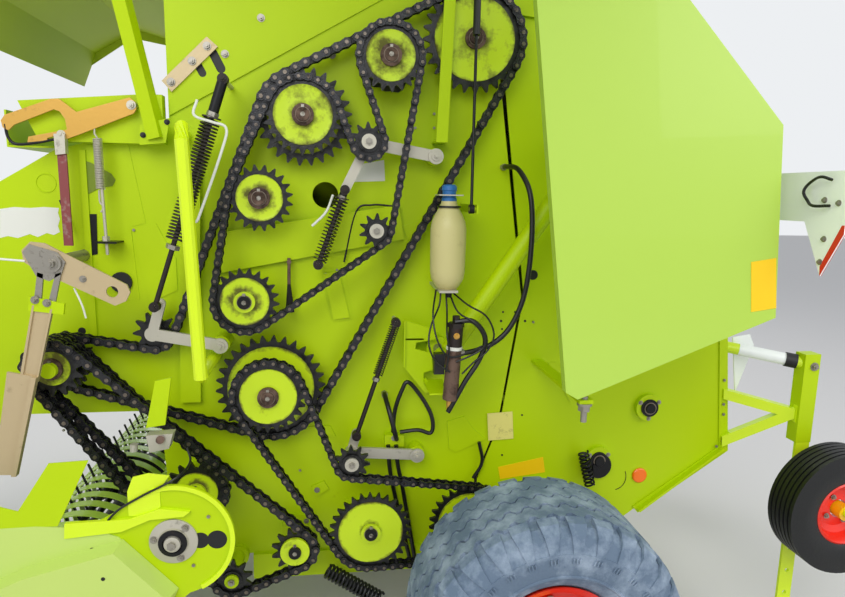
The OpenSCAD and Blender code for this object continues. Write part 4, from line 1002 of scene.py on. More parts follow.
@dataclass
class Springs(Kit):
    """The springs of the three chain tensioners."""

    rod_radius: float = 0.0085
    eye_radius: float = 0.017
    eye_half: float = 0.014

    def build(self) -> None:
        """Makes the springs with their rods, nuts and eyes."""
        mesh = Mesh("spring_steel", "dark_iron", "bolt_steel", "dark_steel")
        for strut in STRUTS:
            self._strut(mesh, strut)
        mesh.make("tensioner_springs", self.mats, "frame", "black_steel", ("spring_struts",))

    def _strut(self, mesh: Mesh, strut: Strut) -> None:
        """Adds one spring."""
        top, foot = (at(x, strut.y, z) for x, z in (strut.top, strut.foot))
        d = foot - top
        r = strut.radius / 1000
        mesh.use("dark_iron")
        mesh.rod(top, foot, self.rod_radius, 12)
        mesh.use("dark_steel")
        mesh.rod(top, top + d * strut.coil_from, r * 0.6, 16)
        mesh.use("spring_steel")
        mesh.spring(top + d * strut.coil_from, top + d * strut.coil_to, r, r * 0.11, strut.turns)
        mesh.use("bolt_steel")
        for share, size in ((strut.coil_from - 0.02, 0.7), (strut.coil_to + 0.02, 0.8)):
            seat = top + d * max(share, 0.0)
            mesh.rod(seat, seat + d.normalized() * 0.014, r * size, 6)
        mesh.use("dark_iron")
        for end in (top, foot):
            near = end + OUT * self.eye_half
            mesh.rod(near, end - OUT * self.eye_half, self.eye_radius, 16)
            mesh.bolt(near, OUT, 8.0)


@dataclass
class Tyre:
    """A road tyre turned round its axle, with ribs across its width, sizes in metres."""

    centre: Vector
    radius: float = 0.450
    width: float = 0.400
    rim: float = 0.225
    ribs: int = 4
    rib_share: float = 0.64
    gap_share: float = 0.14
    crown: float = 0.010
    zigzag: float = 0.010
    groove: float = 0.013
    blocks: int = 30
    steps: int = 90

    def build(self, mats: Materials, word: str) -> None:
        """Makes the tyre in place of its CAD node.

        Args:
            mats: The materials by name.
            word: The side's name.
        """
        mesh = Mesh("tyre_rubber")
        w = self.width / 2
        r = self.radius
        shoulder = [
            (w * 0.60, r - self.groove), (w * 0.80, r - 0.022), (w * 0.93, r - 0.047),
            (w * 0.985, r - 0.092), (w, (r + self.rim) / 2 + 0.02), (w * 0.97, self.rim + 0.055),
            (w * 0.86, self.rim + 0.014), (w * 0.70, self.rim - 0.012),
        ]
        mesh.turned(self.centre, ACROSS, mirrored(shoulder) + shoulder, self.steps)
        bead = ((0.955, 0.046), (0.985, 0.050), (0.99, 0.056), (0.96, 0.060))
        for s in (-1, 1):
            ridge = [(s * w * share, self.rim + rise) for share, rise in bead]
            mesh.turned(self.centre, ACROSS, ridge, self.steps)
        self._ribs(mesh, w)
        self._blocks(mesh, w)
        mesh.make("road_tyre_" + word, mats, "wheel_" + word, "tyre_rubber", ("tyre_" + word,), sharp=28)

    def _ribs(self, mesh: Mesh, w: float) -> None:
        """Adds the raised ribs, whose edges zigzag, w being half the tyre's width."""
        span = 2 * w * self.rib_share / self.ribs
        gap = span * self.gap_share
        for i in range(self.ribs):
            low = -w * self.rib_share + i * span + gap / 2
            high = low + span - gap
            top = self.radius - self.crown * (abs(low + high) / 2 / w) ** 2
            rings = []
            for k in range(self.steps * 2):
                shift = self.zigzag if k // 2 % 2 else -self.zigzag
                rings.append([self.centre + spoke(rad, math.pi * k / self.steps, y + shift)
                              for y, rad in ((low, top - self.groove), (low, top), (high, top),
                                             (high, top - self.groove))])
            mesh.loft(rings, closed=True)

    def _blocks(self, mesh: Mesh, w: float) -> None:
        """Adds the blocks that wrap over both shoulders, and three small marks below each.

        Args:
            mesh: The tyre's mesh.
            w: Half the tyre's width.
        """
        pitch = 2 * math.pi / self.blocks
        # Place across as a share of w, drop from the tread, and half the length as a share of the pitch.
        profile = ((0.66, 0.002, 0.34), (0.82, 0.010, 0.33), (0.945, 0.036, 0.27), (0.995, 0.078, 0.20),
                   (1.0, 0.100, 0.16))
        # Corners of a mark: turn in radians and drop from the tread.
        mark = ((-0.006, 0.104), (0.006, 0.104), (0.006, 0.122), (-0.006, 0.122))
        for s in (-1, 1):
            for k in range(self.blocks):
                a = pitch * (k + (0.5 if s > 0 else 0))
                rings = []
                for across, drop, half in profile:
                    ring = []
                    for turn, depth in ((-half, 0.0), (half, 0.0), (half, 0.014), (-half, 0.014)):
                        y = w * across - depth * max(0.0, across - 0.8) * 4
                        rad = self.radius - drop - depth * (1.6 - across)
                        ring.append(self.centre + spoke(rad, a + turn * pitch, s * y))
                    rings.append(ring)
                mesh.loft(rings)
                for turn in (-0.15, 0.0, 0.15):
                    ring = [self.centre + spoke(self.radius - drop, a + turn * pitch + e, s * w)
                            for e, drop in mark]
                    out = ACROSS * s * 0.004
                    mesh.loft([[p - out for p in ring], [p + out for p in ring]])


@dataclass
class RoadWheels(Kit):
    """The two road wheels with their studs and hubs, and the two gauge wheels.

    Places are in millimetres; radii, and distances out from a wheel's middle, are in metres.
    """

    axle: Point2 = (3210, 450)
    wheel_y: float = 1040.0
    stud_circle: float = 0.0875
    stud_face: float = 0.030
    cap: Point2 = (0.109, 0.135)
    cap_radius: float = 0.052
    cap_end_radius: float = 0.044
    gauge: Point2 = (4430, 720)
    gauge_y: float = 900.0
    gauge_radius: float = 0.240
    gauge_half: float = 0.070
    gauge_rim: float = 0.120

    def build(self) -> None:
        """Makes both pairs."""
        for side in Side:
            centre = at(self.axle[0], side.value * self.wheel_y, self.axle[1])
            Tyre(centre).build(self.mats, side.word)
            self._studs(centre, side)
            self._gauge_wheel(at(self.gauge[0], side.value * self.gauge_y, self.gauge[1]), side)

    def _studs(self, c: Vector, side: Side) -> None:
        """Adds the nuts and the hub cap of a road wheel."""
        mesh = Mesh("bolt_steel", "hub_yellow")
        out = ACROSS * side.value
        for a in turns(6, 15):
            mesh.bolt(c + spoke(self.stud_circle, a) + out * self.stud_face, out, 11.0)
        mesh.use("hub_yellow")
        start, end = self.cap
        mesh.rod(c + out * start, c + out * end, self.cap_radius, 28, self.cap_end_radius)
        mesh.rod(c + out * 0.134, c + out * 0.140, 0.020, 6)
        mesh.make("wheel_nuts_" + side.word, self.mats, "wheel_" + side.word, "rim_red")

    def _gauge_wheel(self, c: Vector, side: Side) -> None:
        """Makes a gauge wheel: ribbed tyre, dished red rim and yellow hub."""
        mesh = Mesh("tyre_black", "rim_red", "hub_yellow", "bolt_steel")
        w, r, rim = self.gauge_half, self.gauge_radius, self.gauge_rim
        wall = [(w * 0.93, r - 0.02), (w, r - 0.05), (w * 0.95, rim + 0.02), (w * 0.75, rim)]
        profile = mirrored(wall)
        half = w * 0.11
        for k in range(6):
            y = -w * 0.80 + 2 * w * 0.80 * k / 5
            profile += [(y - half, r - 0.001), (y + half, r - 0.001)]
            if k < 5:
                profile += [(y + half + 0.001, r - 0.008), (y + w * 0.32 - half - 0.001, r - 0.008)]
        mesh.turned(c, ACROSS, profile + wall, 64)
        mesh.use("rim_red")
        dish = [(0.012, 0.036), (0.004, 0.074), (w * 0.2, rim - 0.022), (w * 0.74, rim - 0.010),
                (w * 0.86, rim - 0.002), (w * 0.80, rim + 0.004)]
        mesh.turned(c, ACROSS, mirrored(dish) + dish, 48)
        mesh.use("hub_yellow")
        mesh.turned(c, ACROSS, [(-0.052, 0.0158), (-0.052, 0.030), (0.052, 0.030), (0.052, 0.0158)], 32)
        mesh.use("bolt_steel")
        for a in turns(4, 30):
            mesh.bolt(c + spoke(0.055, a, side.value * 0.012), ACROSS * side.value, 7.0)
        mesh.make("gauge_tyre_" + side.word, self.mats, "gauge_" + side.word, "tyre_rubber",
                  ("gauge_wheel_" + side.word,))


PAINTED = {
    "green_paint": ("chassis", "drawbar", "gearbox", "side_wall_left", "side_wall_right", "front_frame",
                    "roof", "tailgate_shell", "panel_brackets", "cylinder_left", "cylinder_right"),
    "bright_paint": ("guard_tube", "gauge_posts"),
    "pale_paint": ("side_cover_left", "side_cover_right", "strippers", "rear_panel_left",
                   "rear_panel_right"),
    # The net hood takes the greyed green of its shaded side: painted shade.
    "shade_paint": ("net_hood",),
    "zinc_plate": ("parking_jack", "chain_tensioners"),
    "old_iron": ("hitch_eye",),
    "roller_steel": ("front_rollers", "tailgate_rollers", "feed_rotor"),
    "black_plastic": ("driveline", "gas_strut_tube"),
    "dark_steel": ("reel", "gas_strut_rod"),
    "bolt_steel": ("cylinder_pins",),
    "chrome": ("rod_left", "rod_right"),
    "board_white": ("lamp_boards",),
    "rim_red": ("rim_left", "rim_right"),
}


@dataclass
class Paintwork:
    """Dresses the CAD nodes that keep their own shape."""

    mats: Materials
    nodes: dict[str, bpy.types.Object]

    def build(self) -> None:
        """Puts each node's finish in its material slots."""
        for finish, names in PAINTED.items():
            for name in names:
                data = self.nodes[name].data
                data.materials.clear()
                data.materials.append(self.mats[finish])


def round_hole(x: float, z: float, r: float, n: int = 20) -> list[Point2]:
    """Edge of a round hole."""
    return [(x + r * math.cos(a), z + r * math.sin(a)) for a in turns(n)]


def slot_hole(a: Point2, b: Point2, r: float) -> list[Point2]:
    """Edge of a slot with round ends between two centres."""
    turn = math.atan2(b[1] - a[1], b[0] - a[0])
    out = []
    for c, start in ((b, -90), (a, 90)):
        for k in range(9):
            h = turn + math.radians(start + 22.5 * k)
            out.append((c[0] + r * math.cos(h), c[1] + r * math.sin(h)))
    return out


@dataclass
class WallFittings(Kit):
    """Bolts, plates, wires and blank labels on the walls.

    Outlines and places are in pixels of the photograph where nothing else is said, and thicknesses
    and heights off the wall are in millimetres.
    """

    face: float = -WALL_OUT
    strap_y: float = -925.0
    lever_y: float = -686.0
    # Labels: finish, height off the wall, thickness and outline. The first is torn.
    labels: tuple[tuple[str, float, float, Outline], ...] = (
        ("sticker_white", 0.8, 0.8, (
            (0, 209), (14, 207), (30, 208), (44, 207), (59, 208), (58, 213), (60, 219), (58, 226),
            (60, 232), (54, 235), (47, 233), (38, 237), (30, 234), (18, 238), (8, 236), (0, 238))),
        ("sticker_white", 0.8, 0.8, ((356, 165), (384, 160), (385, 181), (352, 182))),
        ("aged_label", 6, 1, ((487, 413), (512, 411), (513, 438), (488, 440))),
    )
    # The upper plate in millimetres, and its slots: two centres and a radius each.
    upper_plate: Outline = ((1962, 2127), (2817, 2617), (2250, 2617), (1962, 2498))
    upper_thick: float = 7.0
    upper_slots: tuple[tuple[Point2, Point2, float], ...] = (
        ((2062, 2296), (2076, 2270), 13), ((2113, 2335), (2137, 2287), 15))
    # Small plates: thickness and outline.
    small_plates: tuple[tuple[float, Outline], ...] = (
        (3, ((131, 227), (156, 223), (163, 236), (176, 258), (178, 290), (150, 303))),
        (9, ((80, 150), (86, 150), (98, 335), (91, 335))),
        (3, ((324, 269), (345, 267), (352, 319), (334, 322))),
        (3, ((168, 322), (196, 348), (192, 352), (150, 352))),
        (4, ((345, 498), (362, 500), (372, 560), (350, 560))),
        (2, ((86, 145), (128, 143), (146, 223), (131, 227), (140, 300), (88, 300))),
        (5, ((447, 421), (464, 416), (473, 428), (485, 439), (455, 452), (449, 448))),
        (34, ((384, 432), (403, 432), (403, 443), (384, 443))),
        (6, ((255, 430), (330, 425), (336, 436), (258, 442))),
        (4, ((402, 226), (424, 219), (428, 232), (408, 240))),
    )
    lever_plate: Outline = ((140, 125), (170, 118), (166, 143), (140, 145))
    lever_bolts: Outline = ((143, 135), (167, 122))
    latch_plate: Outline = ((311, 486), (324, 480), (329, 488), (316, 496))
    # A darker plate in the wall's cut-out behind the spring, in pixels: painted shade of the sheet behind it.
    pocket: Outline = (
        (83, 160), (92, 163), (105, 170), (112, 174), (116, 180), (113, 186), (100, 188), (85, 196))
    # Shafts with grease on the wall behind their sprockets, and its radius in millimetres.
    greasy: tuple[tuple[str, float], ...] = (
        ("upper", 96), ("top", 92), ("rear_top", 84), ("upper_front", 78), ("middle", 74),
        ("lower_drive", 72))
    tie: Outline = ((162, 81), (207, 37), (218, 47), (172, 92))
    tie_bolts: Outline = ((171, 82), (192, 61), (207, 46))
    # Bolts: half the width over flats, height off the wall, washer or not, and places.
    bolts: tuple[tuple[float, float, bool, Outline], ...] = (
        (8.5, 7, True, ((225, 54), (261, 18), (332, 55))),
        (4.5, 3, False, (
            (326, 274), (337, 270), (344, 317), (134, 230), (64, 430), (300, 470), (415, 128),
            (434, 114), (434, 128), (533, 322))),
        (7.0, 8, True, ((317, 490),)),
        (7.0, 34, True, ((394, 438),)),
    )
    # Holes drawn as black discs, their dark being painted shade: place across and down, radius and height in
    # metres.
    holes: tuple[tuple[float, float, float, float], ...] = (
        (122, 282, 0.036, 0.012), (533, 275, 0.019, 0.0009), (515, 312, 0.004, 0.0009),
        (484, 85, 0.005, 0.0009), (503, 312, 0.004, 0.0009), (445, 112, 0.009, 0.0009),
        (478, 122, 0.004, 0.0009), (82, 331, 0.013, 0.0009), (501, 321, 0.005, 0.0009),
        (525, 321, 0.005, 0.0009), (502, 329, 0.004, 0.0009), (522, 415, 0.004, 0.0009),
        (502, 455, 0.004, 0.0009))
    ring: Point2 = (46, 183)
    ring_radius: float = 0.031
    # Pivots of the tensioner arms, in millimetres.
    arm_pivots: tuple[Point3, ...] = ((2868, -691, 2013), (2821, -691, 906), (2120, -719, 1349))
    brush_proud: float = 34.0
    brush_stem: Outline = ((289, 258), (289, 290))
    brush_arm: Point2 = (289, 262)
    brush_hair: Outline = ((289, 284), (290, 312))
    strap: Outline = ((155, 381), (171, 378), (165, 425), (146, 428))
    strap_foot: Outline = ((147, 434), (174, 432), (170, 447), (151, 451))
    strap_pin: Outline = ((134, 444), (134, 451))
    strap_stud: Point2 = (160, 440)
    lower_spring: Route = ((327, 570, -705), (380, 599, -705))
    # Wires and small hoses: radius in metres and the route.
    black_lines: tuple[tuple[float, Route], ...] = (
        (0.0035, ((187, 448, -930), (190, 462, -970), (176, 478, -1057), (140, 497, -1058), (116, 512, -1058),
                  (100, 531, -1056))),
        (0.0035, ((344, 262, -640), (356, 212, -640), (372, 205, -640), (392, 206, -640))),
        (0.008, ((393, 432, -660), (395, 410, -666), (402, 390, -668), (408, 382, -668), (420, 395, -668),
                 (430, 412, -668), (433, 425, -668), (430, 433, -668), (418, 430, -666), (400, 432, -660))),
        (0.008, ((388, 445, -660), (390, 470, -656), (396, 500, -650), (410, 560, -640))),
        (0.008, ((396, 445, -660), (398, 466, -658), (403, 490, -652), (415, 560, -640))),
        (0.004, ((60, 200, -640), (72, 232, -640))),
        (0.007, ((479, 442, -640), (482, 462, -640), (473, 478, -640))),
    )
    pale_lines: tuple[tuple[float, Route], ...] = (
        (0.0045, ((197, 100, -790), (194, 115, -806), (212, 122, -812), (226, 128, -812), (222, 150, -812),
                  (200, 214, -806), (196, 222, -790))),
        (0.0045, ((333, 195, -690), (326, 212, -706), (312, 226, -706))),
        (0.0035, ((0, 259, -870), (12, 260, -870), (25, 261, -868))),
        (0.003, ((74, 288, -858), (82, 305, -858), (86, 318, -850))),
    )

    def build(self) -> None:
        """Makes the small fittings."""
        self._bearing_bolts()
        self._labels()
        self._plates()
        self._bolts()
        self._arm_washers()
        self._loose_parts()

    def _bearing_bolts(self) -> None:
        """Bolts round each bearing of both walls, and a flange on the tailgate's rollers."""
        fixed = [spot for key, spot in SHAFTS.items() if key not in (*IDLERS, "gearbox", "pickup")]
        walls, tail = Mesh("bolt_steel"), Mesh("bolt_steel", "dark_steel")
        for side in Side:
            s = side.value
            out = ACROSS * s
            for x, z in fixed:
                for a in turns(4, 45):
                    walls.bolt(at(x, s * (WALL_OUT + 22), z) + spoke(0.048, a), out, 6.5)
            middle = at(CHAMBER[0], s * (WALL_OUT + 20), CHAMBER[1])
            for angle in TAIL_ANGLES:
                hub = middle + spoke(TAIL_RING / 1000, math.radians(angle))
                tail.use("dark_steel")
                tail.rod(hub, hub + out * 0.006, 0.036, 24)
                tail.rod(hub + out * 0.004, hub + out * 0.016, 0.024, 20, 0.019)
                tail.use("bolt_steel")
                for a in turns(3, 30):
                    tail.bolt(hub - out * 0.001 + spoke(0.045, a), out, 6.0)
        walls.make("bearing_bolts", self.mats, "frame", "bare_steel")
        tail.make("tailgate_bearings", self.mats, "tailgate", "bare_steel")

    def _labels(self) -> None:
        """Blank labels, one of them torn."""
        mesh = Mesh("sticker_white", "aged_label")
        for finish, proud, thick, outline in self.labels:
            mesh.use(finish)
            mesh.plate(self.sight.shape(outline, self.face), self.face - proud, thick)
        mesh.make("blank_labels", self.mats, "frame", "board_white")

    def _plates(self) -> None:
        """Raised plates of the wall: the upper one with its slots, and small covers."""
        shape, y = self.sight.shape, self.face
        mesh = Mesh("green_paint", "pocket_paint", "black_plastic", "grease_film")
        slots = [slot_hole(*slot) for slot in self.upper_slots]
        mesh.pierced(self.upper_plate, slots, y - self.upper_thick, self.upper_thick)
        for thick, outline in self.small_plates:
            mesh.plate(shape(outline, y), y - thick, thick)
        mesh.plate(shape(self.lever_plate, self.lever_y), self.lever_y - 4, 5)
        mesh.plate(shape(self.latch_plate, y), y - 8, 6)
        # The sheet in the cut-out is a darker green: painted shade.
        mesh.use("pocket_paint")
        mesh.plate(shape(self.pocket, y), y - 4.5, 1)
        # Black sheets in the upper plate's slots stand for the shade inside them: painted shade.
        mesh.use("black_plastic")
        for hole in slots:
            mesh.plate(hole, y - 1.2, 1)
        mesh.use("grease_film")
        self._grease(mesh)
        mesh.make("wall_plates", self.mats, "frame", "paint_green")
        self._tie()

    def _grease(self, mesh: Mesh) -> None:
        """Adds ragged patches of grease on the wall behind the upper sprockets."""
        rng = Random(7)
        for key, r in self.greasy:
            x, z = SHAFTS[key]
            ragged = [(r * (0.86 + 0.28 * rng.random()), a) for a in turns(26)]
            proud = 8.2 if key == "top" else 1.4
            patch = [(x + q * math.cos(a), z + q * math.sin(a) - 6) for q, a in ragged]
            mesh.plate(patch, self.face - proud, 1)

    def _tie(self) -> None:
        """Makes the strip from which the front spring hangs."""
        shape, y = self.sight.shape, self.face
        tie = Mesh("beige_zinc", "bolt_steel")
        tie.plate(shape(self.tie, y - 9), y - 15, 8)
        tie.use("bolt_steel")
        for px in self.tie_bolts:
            tie.bolt(self.sight.spot(*px, y - 15), OUT, 9.0)
        tie.make("tie_plate", self.mats, "frame", "yellow_zinc")

    def _bolts(self) -> None:
        """Single bolts, the embossed ring, and black discs whose dark is the painted shade of holes."""
        mesh = Mesh("bolt_steel", "black_plastic", "green_paint")
        spot, y = self.sight.spot, self.face
        for size, proud, washer, places in self.bolts:
            for px in places:
                mesh.bolt(spot(*px, y - proud), OUT, size, washer)
        mesh.use("black_plastic")
        for px in self.lever_bolts:
            mesh.bolt(spot(*px, self.lever_y - 5), OUT, 6.0)
        # Black discs in place of holes: painted shade.
        for across, down, r, high in self.holes:
            p = spot(across, down, y)
            mesh.rod(p, p + OUT * high, r, 20)
        mesh.use("green_paint")
        c = spot(*self.ring, y - 0.5)
        mesh.tube([c + spoke(self.ring_radius, a) for a in turns(32)], 0.0022, 6, closed=True)
        mesh.make("wall_bolts", self.mats, "frame", "bare_steel")

    def _arm_washers(self) -> None:
        """Washers and bolts on the pivots of the tensioner arms."""
        mesh = Mesh("zinc_plate")
        for pivot in self.arm_pivots:
            p = at(*pivot)
            mesh.rod(p, p + OUT * 0.007, 0.027, 28)
            mesh.rod(p + OUT * 0.007, p + OUT * 0.013, 0.016, 20)
            mesh.bolt(p + OUT * 0.013, OUT, 7.0, washer=False)
        mesh.make("arm_washers", self.mats, "frame", "galvanised")

    def _loose_parts(self) -> None:
        """The chain brush, the strap bracket on the guard tube, wires and the lower spring."""
        mesh = Mesh("green_paint", "old_iron", "brush_bristle", "zinc_plate", "black_hose", "sticker_white")
        self._brush_and_strap(mesh)
        mesh.use("black_hose")
        start, end = (self.sight.spot(*px) for px in self.lower_spring)
        mesh.spring(start, end, 0.0255, 0.0052, 15, 8)
        for finish, lines in (("black_hose", self.black_lines), ("sticker_white", self.pale_lines)):
            mesh.use(finish)
            for r, route in lines:
                mesh.tube(self.sight.path(route), r, 8)
        mesh.make("loose_parts", self.mats, "frame", "black_steel")

    def _brush_and_strap(self, mesh: Mesh) -> None:
        """Adds the brush of the upper chain, and the strap bracket with its pin."""
        spot, shape, y = self.sight.spot, self.sight.shape, self.face
        plane = y - self.brush_proud
        mesh.use("old_iron")
        mesh.rod(*(spot(*px, plane) for px in self.brush_stem), 0.006, 12)
        mesh.rod(spot(*self.brush_arm, y), spot(*self.brush_arm, plane - 6), 0.008, 10)
        mesh.use("brush_bristle")
        mesh.rod(*(spot(*px, plane) for px in self.brush_hair), 0.006, 14, 0.016)
        mesh.use("green_paint")
        y = self.strap_y
        mesh.plate(shape(self.strap, y), y, 8)
        mesh.use("zinc_plate")
        mesh.plate(shape(self.strap_foot, y), y - 14, 40)
        mesh.rod(*(spot(*px, y) for px in self.strap_pin), 0.012, 14)
        mesh.use("old_iron")
        mesh.rod(spot(*self.strap_stud, y - 14), spot(*self.strap_stud, y - 26), 0.013, 14)


@dataclass
class LeverWork(Kit):
    """The net lever with its hook, spring and strip, and the galvanised crank with its long rod.

    The lever and the crank are outlined in millimetres, the small parts in pixels of the photograph.
    """

    lever_y: float = -686.0
    lever: Outline = (
        (1856, 2174), (1690, 2122), (1668, 2140), (1640, 2162), (1615, 2160), (1475, 2106), (1462, 2088),
        (1466, 2066), (1482, 2058), (1500, 2076), (1622, 2128), (1640, 2122), (1655, 2098), (1658, 2066),
        (1540, 2040), (1536, 2022), (1660, 2038), (1700, 2054), (1866, 2124), (1875, 2138), (1873, 2160))
    crank_y: float = -868.0
    crank: Outline = (
        (1640, 1712), (1601, 1716), (1575, 1690), (1578, 1655), (1612, 1630), (1790, 1540), (1833, 1518),
        (1866, 1532), (1880, 1560), (1872, 1584), (1680, 1690))

    clip: Outline = ((55, 134), (66, 134), (67, 154), (57, 155))
    spring_tail: Outline = ((99, 190), (100, 202), (104, 207), (101, 212))
    hook: Outline = ((5, 124), (8, 137), (16, 144), (34, 143), (56, 139))
    strip_seat: Outline = ((87, 214), (97, 214), (98, 254), (89, 256))
    # Flat bars with their turned edges: plane and near face out from the crank, thickness and outline.
    bars: tuple[tuple[float, float, float, Outline], ...] = (
        (7, 7, 8, ((20, 380), (33, 305), (53, 309), (38, 382))),
        (7, 13, 8, ((20, 380), (33, 305), (35, 305), (23, 380))),
        (7, 13, 8, ((36, 382), (51, 309), (53, 309), (38, 382))),
        (14, 15, 8, ((7, 372), (38, 377), (18, 475), (-6, 475))),
        (14, 28, 16, ((33, 376), (38, 377), (18, 475), (13, 475))),
    )
    head: Outline = ((23, 252), (30, 244), (58, 252), (66, 262), (62, 274), (50, 281), (37, 276))
    forks: tuple[Outline, ...] = (
        ((38, 272), (44, 274), (42, 300), (35, 299)), ((56, 274), (62, 272), (56, 303), (49, 303)))
    saddle: Outline = ((30, 296), (66, 303), (65, 314), (30, 310))
    saddle_bolts: Outline = ((35, 300), (47, 303))
    crank_bolt: Point2 = (83, 279)

    def build(self) -> None:
        """Makes both."""
        self._lever()
        self._crank()

    def _lever(self) -> None:
        """Makes the lever and what hangs from it."""
        mesh = Mesh("yellow_zinc", "zinc_plate", "dark_steel", "faded_red")
        shape, path = self.sight.shape, self.sight.path
        y = self.lever_y
        mid = y + 4
        mesh.pierced(self.lever, [slot_hole((1600, 2034), (1636, 2046), 4)], y, 8)
        mesh.use("zinc_plate")
        pivot = at(1860, y, 2150)
        mesh.rod(pivot + OUT * 0.002, pivot - OUT * 0.026, 0.015, 20)
        mesh.bolt(pivot, OUT, 9.0)
        mesh.bolt(at(1640, y, 2050), OUT, 9.0)
        mesh.plate(shape(self.clip, y), y - 12, 24)
        mesh.spring(at(1748, mid, 2040), at(1748, mid, 1878), 0.0125, 0.0024, 30)
        mesh.tube([at(1748, mid, 2042), at(1740, mid, 2056), at(1742, mid, 2084)], 0.003, 8)
        mesh.tube(path([(*px, mid) for px in self.spring_tail]), 0.003, 8)
        mesh.rod(at(1752, mid, 1880), at(1757, mid, 1660), 0.0052, 12)
        mesh.rod(at(1755, mid, 1722), at(1755, mid, 1706), 0.012, 6)
        mesh.use("dark_steel")
        mesh.tube(path([(*px, mid) for px in self.hook]), 0.0048, 8)
        mesh.box(at(1722, y - 10, 1698), at(1792, -WALL_OUT, 1704))
        mesh.plate(shape(self.strip_seat, -WALL_OUT), -WALL_OUT - 5, 5)
        mesh.use("faded_red")
        mesh.box(at(1624, y - 4, 1690), at(1652, y + 4, 2010))
        mesh.make("net_lever_detail", self.mats, "frame", "yellow_zinc", ("net_lever",))

    def _crank(self) -> None:
        """Makes the crank, its fork and the two flat bars."""
        mesh = Mesh("beige_zinc", "bolt_steel", "green_paint")
        shape, spot = self.sight.shape, self.sight.spot
        y = self.crank_y
        mesh.pierced(self.crank, [round_hole(1827, 1562, 18)], y, 8)
        for plane, near, thick, outline in self.bars:
            mesh.plate(shape(outline, y - plane), y - near, thick)
        mesh.use("bolt_steel")
        hub = at(1661, y, 1652)
        mesh.rod(hub - OUT * 0.246, hub + OUT * 0.016, 0.020, 24)
        mesh.plate(shape(self.head, y), y - 6, 6)
        mesh.rod(hub + OUT * 0.006, hub + OUT * 0.014, 0.028, 28)
        mesh.bolt(hub + OUT * 0.014, OUT, 12.0, washer=False)
        mesh.bolt(spot(*self.crank_bolt, y), OUT, 7.0)
        for fork in self.forks:
            mesh.plate(shape(fork, y), y - 6, 8)
        mesh.use("green_paint")
        mesh.plate(shape(self.saddle, y), y - 12, 10)
        mesh.use("bolt_steel")
        for px in self.saddle_bolts:
            mesh.bolt(spot(*px, y - 12), OUT, 8.0)
        mesh.make("crank_detail", self.mats, "frame", "galvanised", ("bell_crank",))


